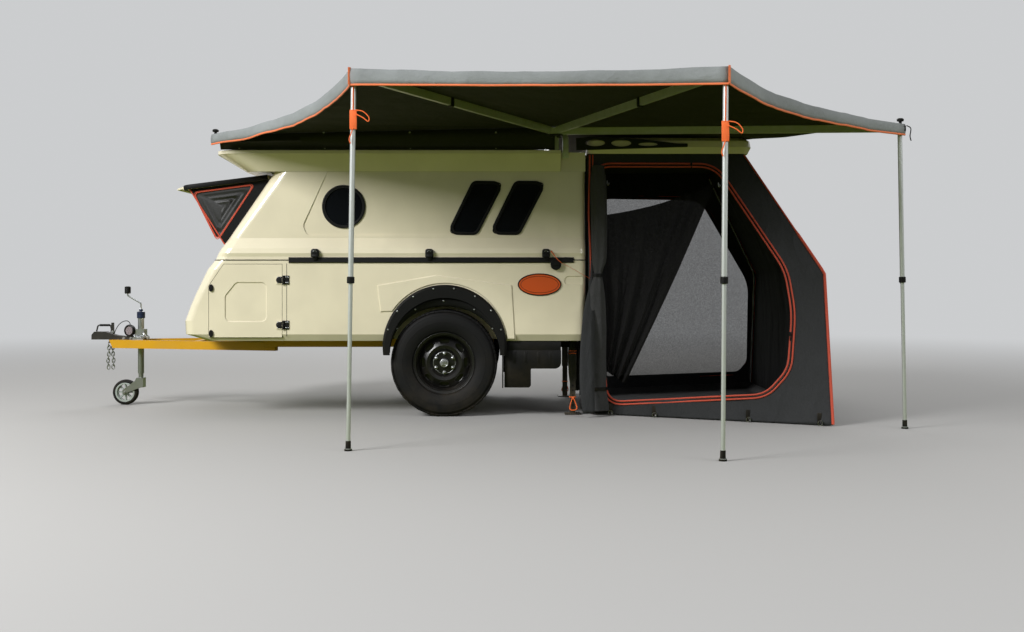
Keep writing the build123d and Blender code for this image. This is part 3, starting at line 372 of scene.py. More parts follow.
def quarter(steps: int) -> list[float]:
    """Angles from 0 to a quarter turn, both ends among them."""
    return [pi / 2 * k / steps for k in range(steps + 1)]


def upward(reach: float) -> Vector:
    """Step straight up."""
    return Vector((0.0, 0.0, reach))


def ngon(radius: float, count: int) -> list[Flat]:
    """Corners of a regular outline."""
    return [(radius * cos(a), radius * sin(a)) for a in turns(count)]


def middle(points: Sequence[Flat]) -> Flat:
    """Mean of flat points."""
    return sum(p[0] for p in points) / len(points), sum(p[1] for p in points) / len(points)


def between(near: Flat, far: Flat, share: float) -> Flat:
    """Flat point a share of the way from one to another."""
    return near[0] + (far[0] - near[0]) * share, near[1] + (far[1] - near[1]) * share


def trail(start: Vector, *steps: Spot) -> list[Vector]:
    """Points at given steps from a start."""
    return [start + Vector(step) for step in steps]


def moved(x: float, y: float, z: float) -> Matrix:
    """Upright frame at a place."""
    return Matrix.Translation((x, y, z))


def wander(seed: float, x: float, y: float, z: float) -> float:
    """Smooth noise from -1 to 1 at a place, another one for each seed."""
    return noise.noise(Vector((x, y, z)) + Vector((seed, seed * 1.7, -seed)))


def strand(name: str, points: Sequence[Sequence[float]], radius: float, finish: "Finish") -> Piece:
    """Cord as one open NURBS curve through its own control points.

    Args:
        name: the cord's name.
        points: control points in the row frame.
        radius: the cord's radius.
        finish: the finish it is dressed in.

    Returns:
        The curve object, linked to the scene.
    """
    curve = bpy.data.curves.new(name, "CURVE")
    curve.dimensions = "3D"
    curve.bevel_depth = radius
    curve.bevel_resolution = 3
    curve.use_fill_caps = True
    spline = curve.splines.new("NURBS")
    spline.points.add(len(points) - 1)
    for control, point in zip(spline.points, points):
        control.co = (*point, 1.0)
    spline.order_u = 3
    spline.use_endpoint_u = True
    spline.resolution_u = 12
    curve.materials.append(finish.material())
    return placed(name, curve)


def settle(piece: Piece, body: str, slot: str, *nodes: str) -> Piece:
    """Puts a piece on its body and hides the frame nodes that it stands for.

    Args:
        piece: the object.
        body: body that it rides on.
        slot: not used.
        nodes: frame nodes that it stands for.

    Returns:
        The piece.
    """
    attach(piece, body)
    if nodes:
        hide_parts(*nodes)
    log.info("%s on %s, %d faces", piece.name, body, len(piece.data.polygons)
             if piece.type == "MESH" else 0)
    return piece


def thicken(piece: Piece, thickness: float, offset: float = 0.0) -> Piece:
    """Gives a sheet its thickness, applied to the mesh."""
    modifier = piece.modifiers.new("thickness", "SOLIDIFY")
    modifier.thickness = thickness
    modifier.offset = offset
    return apply_modifiers(piece)


def weld(piece: Piece, distance: float) -> None:
    """Joins points of a mesh that lie together."""
    bm = bmesh.new()
    bm.from_mesh(piece.data)
    bmesh.ops.remove_doubles(bm, verts=bm.verts, dist=distance)
    bmesh.ops.recalc_face_normals(bm, faces=bm.faces)
    bm.to_mesh(piece.data)
    bm.free()


def apply_modifiers(piece: Piece) -> Piece:
    """Replaces a piece's mesh by what its modifiers make of it."""
    depsgraph = bpy.context.evaluated_depsgraph_get()
    mesh = bpy.data.meshes.new_from_object(piece.evaluated_get(depsgraph))
    piece.modifiers.clear()
    piece.data = mesh
    return piece


def put(node: bpy.types.ShaderNode, **values: float | tuple) -> bpy.types.ShaderNode:
    """Sets a node's own sockets; an underscore stands for a space."""
    for key, value in values.items():
        node.inputs[key.replace("_", " ")].default_value = value
    return node


class Wiring:
    """A node tree that is being wired."""

    nodes: bpy.types.Nodes
    links: bpy.types.NodeLinks

    def take(self, tree: bpy.types.NodeTree) -> "Wiring":
        """Starts on a tree."""
        self.nodes, self.links = tree.nodes, tree.links
        return self

    def node(self, kind: str, **settings: object) -> bpy.types.ShaderNode:
        """Adds a node with its settings."""
        node = self.nodes.new(kind)
        for key, value in settings.items():
            setattr(node, key, value)
        return node

    def feed(self, socket: Socket, value: Socket | float | tuple) -> None:
        """Links or sets a socket."""
        if isinstance(value, Socket):
            self.links.new(value, socket)
        else:
            socket.default_value = value

    def blend(self, share: Socket, first: Socket, second: Socket) -> Socket:
        """Mixes two shaders and gives the result."""
        node = self.node("ShaderNodeMixShader")
        for socket, value in zip(node.inputs, (share, first, second)):
            self.links.new(value, socket)
        return node.outputs[0]


class Group(Wiring):
    """A shader node group that is built once and placed in many materials."""

    _made: dict[str, bpy.types.NodeTree] = {}

    def __init__(self, name: str, inputs: dict[str, float | tuple], outputs: dict[str, str],
                 wire: Callable[["Group", Sockets], dict[str, Socket]]) -> None:
        """Keeps what the group is built from.

        Args:
            name: the group's name.
            inputs: default of each input; a tuple of 3 is a vector and of 4 a colour.
            outputs: socket type of each output.
            wire: makes the nodes and returns the socket that feeds each output.
        """
        self.name, self.inputs, self.outputs, self.wire = name, inputs, outputs, wire

    def tree(self) -> bpy.types.NodeTree:
        """The node tree, made on first use."""
        if self.name in Group._made:
            return Group._made[self.name]
        tree = bpy.data.node_groups.new(self.name, "ShaderNodeTree")
        kinds = {3: "NodeSocketVector", 4: "NodeSocketColor"}
        for label, value in self.inputs.items():
            kind = kinds[len(value)] if isinstance(value, tuple) else "NodeSocketFloat"
            socket = tree.interface.new_socket(label, in_out="INPUT", socket_type=kind)
            socket.default_value = value
        for label, kind in self.outputs.items():
            tree.interface.new_socket(label, in_out="OUTPUT", socket_type=kind)
        self.take(tree)
        entry = tree.nodes.new("NodeGroupInput")
        leave = tree.nodes.new("NodeGroupOutput")
        made = self.wire(self, {socket.name: socket for socket in entry.outputs if socket.name})
        for label, socket in made.items():
            tree.links.new(socket, leave.inputs[label])
        Group._made[self.name] = tree
        return tree

    def math(self, operation: str, *values: Socket | float, clamp: bool = False) -> Socket:
        """Adds a math node and gives its result."""
        node = self.node("ShaderNodeMath", operation=operation, use_clamp=clamp)
        for socket, value in zip(node.inputs, values):
            self.feed(socket, value)
        return node.outputs[0]

    def noise(self, place: Socket, scale: Socket | float, detail: float = 3.0,
              rough: float = 0.5) -> Socket:
        """Adds a noise texture and gives its value."""
        node = self.node("ShaderNodeTexNoise")
        self.feed(node.inputs["Vector"], place)
        self.feed(node.inputs["Scale"], scale)
        return put(node, Detail=detail, Roughness=rough).outputs["Fac"]

    def ramp(self, value: Socket, low: float, high: float) -> Socket:
        """Maps low to 0 and high to 1, clamped and eased."""
        node = self.node("ShaderNodeMapRange", interpolation_type="SMOOTHSTEP")
        self.feed(node.inputs["Value"], value)
        return put(node, From_Min=low, From_Max=high).outputs["Result"]


def wire_edge_wear(group: Group, entry: Sockets) -> Sockets:
    """Mask of bare edges, from the rounded normal against the face's own."""
    rounded = group.node("ShaderNodeBevel", samples=4)
    group.feed(rounded.inputs["Radius"], entry["Width"])
    own = group.node("ShaderNodeNewGeometry")
    across = group.node("ShaderNodeVectorMath", operation="DOT_PRODUCT")
    group.feed(across.inputs[0], rounded.outputs["Normal"])
    group.feed(across.inputs[1], own.outputs["Normal"])
    turned = group.math("SUBTRACT", 1.0, across.outputs["Value"])
    place = group.node("ShaderNodeTexCoord").outputs["Object"]
    patch = group.noise(place, 23.0, 4.0, 0.65)
    worn = group.math("MULTIPLY", turned, group.ramp(patch, 0.42, 0.72))
    return {"Mask": group.math("MULTIPLY", group.ramp(worn, 0.01, 0.07), entry["Amount"])}


def wire_dust(group: Group, entry: Sockets) -> Sockets:
    """Mask of dust: low down, on faces that look up, and in soft blotches."""
    place = group.node("ShaderNodeTexCoord").outputs["Object"]
    split = group.node("ShaderNodeSeparateXYZ")
    group.feed(split.inputs[0], place)
    height = group.math("SUBTRACT", split.outputs["Z"], entry["Floor"])
    low = group.math("SUBTRACT", 1.0, group.math("DIVIDE", height, entry["Reach"]), clamp=True)
    normal = group.node("ShaderNodeSeparateXYZ")
    group.feed(normal.inputs[0], group.node("ShaderNodeNewGeometry").outputs["Normal"])
    top = group.math("MULTIPLY", group.ramp(normal.outputs["Z"], 0.35, 0.95), 0.35)
    blotch = group.ramp(group.noise(place, 7.0, 6.0, 0.6), 0.3, 0.75)
    amount = group.math("ADD", group.math("MULTIPLY", low, low), top)
    return {"Mask": group.math("MULTIPLY", group.math("MULTIPLY", amount, blotch),
                               entry["Amount"], clamp=True)}


def wire_grain(group: Group, entry: Sockets) -> Sockets:
    """Fine moulded or sprayed grain, and a slow unevenness."""
    place = group.node("ShaderNodeTexCoord").outputs["Object"]
    fine = group.noise(place, entry["Scale"], 2.0)
    slow = group.noise(place, 3.0, 3.0)
    return {"Height": fine, "Slow": group.ramp(slow, 0.3, 0.7)}


def wire_weave(group: Group, entry: Sockets) -> Sockets:
    """Threads that pass over and under, from texture places in metres."""
    split = group.node("ShaderNodeSeparateXYZ")
    group.feed(split.inputs[0], group.node("ShaderNodeTexCoord").outputs["UV"])
    turn = group.math("DIVIDE", tau, entry["Pitch"])
    waves = [group.math("SINE", group.math("MULTIPLY", split.outputs[axis], turn))
             for axis in ("X", "Y")]
    over = group.math("MULTIPLY", waves[0], waves[1])
    rounded = group.math("ADD", group.math("ABSOLUTE", waves[0]), group.math("ABSOLUTE", waves[1]))
    place = group.node("ShaderNodeTexCoord").outputs["Object"]
    slub = group.noise(place, 90.0, 2.0)
    height = group.math("ADD", group.math("MULTIPLY", over, 0.4),
                        group.math("MULTIPLY", rounded, 0.3))
    return {"Height": group.math("ADD", height, group.math("MULTIPLY", slub, 0.5)), "Slub": slub}


def wire_creases(group: Group, entry: Sockets) -> Sockets:
    """Soft folds of packed cloth, longer one way than the other."""
    place = group.node("ShaderNodeTexCoord").outputs["Object"]
    stretch = group.node("ShaderNodeVectorMath", operation="MULTIPLY")
    group.feed(stretch.inputs[0], place)
    group.feed(stretch.inputs[1], entry["Stretch"])
    folds = group.noise(stretch.outputs[0], entry["Scale"], 5.0, 0.55)
    ridge = group.math("ABSOLUTE", group.math("SUBTRACT", folds, 0.5))
    stain = group.ramp(group.noise(place, 1.7, 4.0, 0.6), 0.35, 0.7)
    return {"Height": group.math("SUBTRACT", 1.0, group.math("MULTIPLY", ridge, 5.0), clamp=True),
            "Stain": stain}


def wire_scratches(group: Group, entry: Sockets) -> Sockets:
    """Fine scratches along one way and cloudy handling marks."""
    place = group.node("ShaderNodeTexCoord").outputs["Object"]
    stretch = group.node("ShaderNodeVectorMath", operation="MULTIPLY")
    group.feed(stretch.inputs[0], place)
    group.feed(stretch.inputs[1], entry["Stretch"])
    lines = group.noise(stretch.outputs[0], entry["Scale"], 4.0, 0.7)
    cloud = group.noise(place, 14.0, 4.0, 0.6)
    return {"Lines": group.ramp(lines, 0.35, 0.75), "Cloud": group.ramp(cloud, 0.3, 0.7)}


VALUE, COLOR = "NodeSocketFloat", "NodeSocketColor"
EDGE_WEAR = Group("edge_wear", {"Width": 0.004, "Amount": 0.6}, {"Mask": VALUE}, wire_edge_wear)
DUST_FILM = Group("dust_film", {"Floor": GROUND, "Reach": 0.9, "Amount": 0.4}, {"Mask": VALUE},
                  wire_dust)
GRAIN = Group("grain", {"Scale": 500.0}, {"Height": VALUE, "Slow": VALUE}, wire_grain)
WEAVE = Group("weave", {"Pitch": 0.003}, {"Height": VALUE, "Slub": VALUE}, wire_weave)
CREASES = Group("creases", {"Stretch": (1.0, 1.0, 1.0), "Scale": 6.0},
                {"Height": VALUE, "Stain": VALUE}, wire_creases)
SCRATCHES = Group("scratches", {"Stretch": (1.0, 1.0, 1.0), "Scale": 60.0},
                  {"Lines": VALUE, "Cloud": VALUE}, wire_scratches)


class Board(Wiring):
    """One material's node board, with short calls to wire it."""

    def __init__(self, name: str) -> None:
        """Starts a material with a plain shader and its output."""
        self.material = bpy.data.materials.new(name)
        self.material.use_nodes = True
        self.take(self.material.node_tree)
        self.shader = self.nodes["Principled BSDF"]
        self.output = self.nodes["Material Output"]

    def group(self, group: Group, **inputs: float | tuple) -> bpy.types.NodeOutputs:
        """Places a shared group with its values and gives what comes out of it."""
        return put(self.node("ShaderNodeGroup", node_tree=group.tree()), **inputs).outputs

    def set(self, **values: float | tuple) -> None:
        """Sets the shader's own sockets."""
        put(self.shader, **values)

    def mix(self, share: Socket, first: Socket | Color, second: Socket | Color) -> Socket:
        """Mixes two colours and gives the result."""
        node = self.node("ShaderNodeMix", data_type="RGBA")
        self.links.new(share, node.inputs["Factor"])
        for label, value in (("A", first), ("B", second)):
            self.feed(node.inputs[label], value if isinstance(value, Socket) else (*value, 1.0))
        return next(out for out in node.outputs if out.type == "RGBA")

    def range(self, value: Socket, low: float, high: float) -> Socket:
        """Maps a mask from 0 and 1 to low and high."""
        node = self.node("ShaderNodeMapRange")
        self.links.new(value, node.inputs["Value"])
        return put(node, To_Min=low, To_Max=high).outputs["Result"]

    def link(self, source: Socket, socket: str) -> None:
        """Feeds one of the shader's sockets."""
        self.links.new(source, self.shader.inputs[socket])

    def bump(self, height: Socket, distance: float, strength: float = 1.0,
             under: Optional[Socket] = None) -> Socket:
        """Adds a bump of a real height, over another bump if one is given."""
        node = put(self.node("ShaderNodeBump"), Distance=distance, Strength=strength)
        self.links.new(height, node.inputs["Height"])
        if under:
            self.links.new(under, node.inputs["Normal"])
        self.links.new(node.outputs["Normal"], self.shader.inputs["Normal"])
        return node.outputs["Normal"]


MADE: dict[str, bpy.types.Material] = {}


@dataclass(frozen=True)
class Finish:
    """A named finish; each kind says how its material is wired."""

    name: str
    color: Color

    def material(self) -> bpy.types.Material:
        """The finish's material, made on first use."""
        if self.name not in MADE:
            MADE[self.name] = self.wire(Board(self.name))
        return MADE[self.name]

    def wire(self, board: Board) -> bpy.types.Material:
        """Wires the material on its board."""
        board.set(Base_Color=(*self.color, 1.0))
        return board.material


@dataclass(frozen=True)
class Paint(Finish):
    """Gel coat, enamel or powder coat: grain, worn edges and dust."""

    bare: Color = (0.2, 0.19, 0.18)
    roughness: float = 0.3
    coat: float = 0.0
    wear: float = 0.5
    dust: float = 0.35
    dust_reach: float = 0.9
    grain_scale: float = 400.0
    grain_depth: float = 0.0002
    shift: float = 0.92

    def wire(self, board: Board) -> bpy.types.Material:
        """Wires colour drift, bare edges, dust and grain."""
        grain = board.group(GRAIN, Scale=self.grain_scale)
        wear = board.group(EDGE_WEAR, Amount=self.wear)
        dust = board.group(DUST_FILM, Amount=self.dust, Reach=self.dust_reach)
        darker = tuple(value * self.shift for value in self.color)
        tone = board.mix(grain["Slow"], darker, self.color)
        worn = board.mix(wear["Mask"], tone, self.bare)
        board.link(board.mix(dust["Mask"], worn, DUST), "Base Color")
        rough = board.range(dust["Mask"], self.roughness, 0.85)
        board.link(rough, "Roughness")
        board.set(Coat_Weight=self.coat, Coat_Roughness=0.08)
        board.bump(grain["Height"], self.grain_depth, 0.6)
        return board.material


@dataclass(frozen=True)
class Metal(Finish):
    """Bare or plated metal with handling marks."""

    roughness: float = 0.3
    stretch: Spot = (1.0, 1.0, 0.06)
    dust: float = 0.25
    metallic: float = 1.0

    def wire(self, board: Board) -> bpy.types.Material:
        """Wires cloudy marks and a little dust."""
        marks = board.group(SCRATCHES, Stretch=self.stretch, Scale=260.0)
        dust = board.group(DUST_FILM, Amount=self.dust, Reach=0.7)
        darker = tuple(value * 0.9 for value in self.color)
        tone = board.mix(marks["Cloud"], self.color, darker)
        board.link(board.mix(dust["Mask"], tone, DUST), "Base Color")
        board.link(board.range(marks["Cloud"], self.roughness * 0.92,
                               self.roughness * 1.15), "Roughness")
        board.set(Metallic=self.metallic)
        return board.material


@dataclass(frozen=True)
class Plastic(Finish):
    """Moulded plastic or rubber with a fine leathery grain."""

    roughness: float = 0.5
    grain_scale: float = 900.0
    grain_depth: float = 0.0004
    dust: float = 0.35

    def wire(self, board: Board) -> bpy.types.Material:
        """Wires grain, scuffed edges and dust."""
        grain = board.group(GRAIN, Scale=self.grain_scale)
        wear = board.group(EDGE_WEAR, Amount=0.35, Width=0.003)
        dust = board.group(DUST_FILM, Amount=self.dust, Reach=0.8)
        faded = tuple(value * 1.2 + 0.0012 for value in self.color)
        tone = board.mix(grain["Slow"], self.color, faded)
        scuffed = board.mix(wear["Mask"], tone, tuple(v * 1.6 + 0.006 for v in self.color))
        board.link(board.mix(dust["Mask"], scuffed, DUST), "Base Color")
        board.link(board.range(grain["Height"], self.roughness - 0.08,
                               self.roughness + 0.12), "Roughness")
        board.set(Specular_IOR_Level=0.22)
        board.bump(grain["Height"], self.grain_depth, 0.7)
        return board.material


@dataclass(frozen=True)
class Cloth(Finish):
    """Woven cloth with folds, faded patches and a soft sheen."""

    pitch: float = 0.003
    weave_depth: float = 0.0005
    crease_scale: float = 5.0
    crease_depth: float = 0.006
    stretch: Spot = (1.0, 1.0, 1.0)
    sheen: float = 0.04
    specular: float = 0.25
    # Colour painted on faces that point down, as the shade under the cloth
    back: Optional[Color] = None
    roughness: float = 0.82

    def wire(self, board: Board) -> bpy.types.Material:
        """Wires weave, folds, faded patches and any painted shade on faces that point down."""
        weave = board.group(WEAVE, Pitch=self.pitch)
        creases = board.group(CREASES, Stretch=self.stretch, Scale=self.crease_scale)
        darker = tuple(value * 0.8 for value in self.color)
        tone = board.mix(creases["Stain"], darker, self.color)
        # Faces that point steeply down take the darker colour: painted shade
        if self.back:
            side = board.node("ShaderNodeSeparateXYZ")
            board.links.new(board.node("ShaderNodeNewGeometry").outputs["True Normal"],
                            side.inputs[0])
            below = board.node("ShaderNodeMath", operation="LESS_THAN")
            below.inputs[1].default_value = -0.62
            board.links.new(side.outputs["Z"], below.inputs[0])
            under = board.mix(creases["Stain"], tuple(v * 0.8 for v in self.back), self.back)
            tone = board.mix(below.outputs[0], tone, under)
        thread = board.mix(board.range(weave["Slub"], 0.0, 0.5), tone,
                           tuple(value * 1.25 + 0.01 for value in self.color))
        board.link(thread if not self.back else tone, "Base Color")
        board.set(Roughness=self.roughness, Sheen_Weight=self.sheen, Sheen_Roughness=0.5,
                  Specular_IOR_Level=self.specular)
        folds = board.bump(creases["Height"], self.crease_depth, 0.5)
        board.bump(weave["Height"], self.weave_depth, 0.6, under=folds)
        return board.material


@dataclass(frozen=True)
class Netting(Finish):
    """Insect mesh: threads with clear holes between them."""

    pitch: float = 0.004
    cover: float = 0.55
    roughness: float = 0.85
    specular: float = 0.15

    def wire(self, board: Board) -> bpy.types.Material:
        """Wires the holes as see-through patches of a fixed share."""
        weave = board.group(WEAVE, Pitch=self.pitch)
        board.set(Base_Color=(*self.color, 1.0), Roughness=self.roughness,
                  Specular_IOR_Level=self.specular)
        hole = board.node("ShaderNodeMapRange", interpolation_type="SMOOTHSTEP")
        board.links.new(weave["Height"], hole.inputs["Value"])
        put(hole, From_Min=0.25, From_Max=0.75, To_Min=self.cover - 0.05,
            To_Max=min(self.cover + 0.2, 1.0))
        board.link(hole.outputs["Result"], "Alpha")
        return board.material


@dataclass(frozen=True)
class Glass(Finish):
    """Dark tinted pane that mirrors its surroundings."""

    def wire(self, board: Board) -> bpy.types.Material:
        """Wires a smoked pane with faint smears."""
        grain = board.group(GRAIN, Scale=30.0)
        board.link(board.range(grain["Slow"], 0.02, 0.07), "Roughness")
        board.set(Base_Color=(*self.color, 1.0), Metallic=0.0, Coat_Weight=1.0,
                  Coat_Roughness=0.02, IOR=1.52)
        return board.material


@dataclass(frozen=True)
class Lens(Finish):
    """Coloured lamp lens over a bright reflector."""

    def wire(self, board: Board) -> bpy.types.Material:
        """Wires fine pressed ribs under a clear face."""
        marks = board.group(SCRATCHES, Stretch=(1.0, 1.0, 0.02), Scale=240.0)
        board.link(board.mix(marks["Lines"], self.color,
                             tuple(value * 0.55 for value in self.color)), "Base Color")
        board.set(Roughness=0.12, Coat_Weight=1.0)
        board.bump(marks["Lines"], 0.001, 0.5)
        return board.material


GEL_COAT = Paint("cream_gel_coat", CREAM, bare=linear(188, 178, 150), roughness=0.24, coat=0.6,
                 wear=0.25, dust=0.45, dust_reach=0.75, grain_scale=140.0, grain_depth=0.00012)
CHASSIS_PAINT = Paint("ochre_chassis_paint", OCHRE, bare=linear(92, 70, 50), roughness=0.36,
                      wear=0.9, dust=0.3, grain_scale=260.0)
BLACK_STEEL = Paint("black_powder_coat", linear(24, 24, 25), bare=linear(120, 116, 110),
                    roughness=0.38, wear=0.55, dust=0.3, grain_scale=900.0)
WHEEL_PAINT = Paint("black_wheel_paint", linear(10, 10, 11), bare=linear(96, 94, 90),
                    roughness=0.34, coat=0.12, wear=0.1, dust=0.05, grain_scale=900.0)
ZINC = Metal("zinc_plate", linear(176, 178, 180), roughness=0.34)
ALUMINIUM = Metal("pole_aluminium", linear(212, 216, 216), roughness=0.34, dust=0.1, metallic=0.55)
TYRE_RUBBER = Plastic("tyre_rubber", linear(12, 12, 13), roughness=0.66, grain_scale=420.0,
                      dust=0.07)
SOFT_RUBBER = Plastic("soft_rubber", linear(13, 13, 14), roughness=0.6, dust=0.1)
BLACK_PLASTIC = Plastic("black_plastic", linear(13, 13, 14), roughness=0.42, dust=0.12)
TINT = Glass("window_tint", linear(16, 18, 21))
# The canopy's underside is painted dark and a little olive, as the shade under it
CANOPY = Cloth("canopy_cloth", CANOPY_GREY, back=linear(30, 31, 27), pitch=0.0022,
               crease_scale=3.0, crease_depth=0.012)
ROOM = Cloth("room_cloth", CHARCOAL, pitch=0.0026, stretch=(1.0, 1.0, 0.35), crease_depth=0.018)
GUSSET = Cloth("gusset_black", linear(17, 17, 18), pitch=0.0024, crease_depth=0.006, specular=0.15)
NET = Netting("insect_mesh", linear(34, 34, 35), cover=0.8)
CURTAIN = Netting("curtain_mesh", linear(19, 18, 18), cover=0.99)
GUSSET_NET = Netting("gusset_mesh", linear(12, 12, 11), cover=0.98, roughness=0.42, specular=0.5)
WINDOW_NET = Netting("window_mesh", linear(30, 32, 29), cover=0.66)
SOFT_PVC = Cloth("bag_vinyl", linear(26, 27, 28), pitch=0.0016, weave_depth=0.0002,
                 crease_depth=0.01, sheen=0.05, roughness=0.5, stretch=(0.4, 1.0, 1.0))
BED_CLOTH = Cloth("bed_cloth", linear(120, 124, 130), pitch=0.0028, crease_depth=0.008)
BOARD = Paint("cabinet_board", linear(150, 148, 142), roughness=0.5, wear=0.2, dust=0.2)
ROOM_INSIDE = Cloth("room_cloth_inside", linear(64, 64, 66), pitch=0.0026, crease_depth=0.012)
AWNING_TRIM = Cloth("awning_trim", linear(228, 120, 74), pitch=0.0018, crease_depth=0.001,
                    sheen=0.15, roughness=0.6)
# Redder and darker than the awning's trim: partly the room piping's own colour, partly painted
# shade
SHADED_PIPING = Cloth("orange_piping_shaded", linear(192, 76, 54), pitch=0.0018, crease_depth=0.001, sheen=0.15,
               roughness=0.6)
ROPE = Cloth("orange_rope", linear(232, 108, 52), pitch=0.002, crease_depth=0.0005, roughness=0.7)
JACK_BLUE = Plastic("jack_blue", linear(24, 34, 58), roughness=0.45, dust=0.15)
PLUG_GREY = Plastic("plug_grey", linear(128, 118, 122), roughness=0.5, dust=0.15)
RIM_GREY = Plastic("rim_grey", linear(150, 158, 154), roughness=0.45, dust=0.2)
LAMP_RED = Lens("red_lens", linear(150, 14, 12))
PLATE = Paint("plate_enamel", linear(205, 84, 30), roughness=0.3, coat=0.5, wear=0.3, dust=0.2)

SLOT_FINISH: dict[str, Finish] = {
    "shell_cream": GEL_COAT, "chassis_yellow": CHASSIS_PAINT, "black_steel": BLACK_STEEL,
    "zinc_steel": ZINC, "tyre_rubber": TYRE_RUBBER, "soft_rubber": SOFT_RUBBER,
    "black_plastic": BLACK_PLASTIC, "window_tint": TINT, "canopy_cloth": CANOPY,
    "room_cloth": ROOM, "mesh_cloth": NET, "bed_cloth": BED_CLOTH, "cabinet_board": BOARD,
    "pole_aluminium": ALUMINIUM, "lamp_red": LAMP_RED, "plate_orange": PLATE,
}

# Nodes that look otherwise than the rest of their slot
NODE_FINISH: dict[str, Finish] = {
    "rim_left": WHEEL_PAINT, "rim_right": WHEEL_PAINT, "jockey_rim": RIM_GREY,
}


def dress_frame(frame: dict) -> None:
    """Gives each node of the frame the finish of its slot.
    """
    slots = {row["node"]: row["material_slot"] for row in frame["record"]["subparts"]}
    for name, node in frame["nodes"].items():
        node.data.materials.clear()
        finish = NODE_FINISH.get(name, SLOT_FINISH[slots[name]])
        node.data.materials.append(finish.material())
    log.info("dressed %d frame nodes", len(frame["nodes"]))


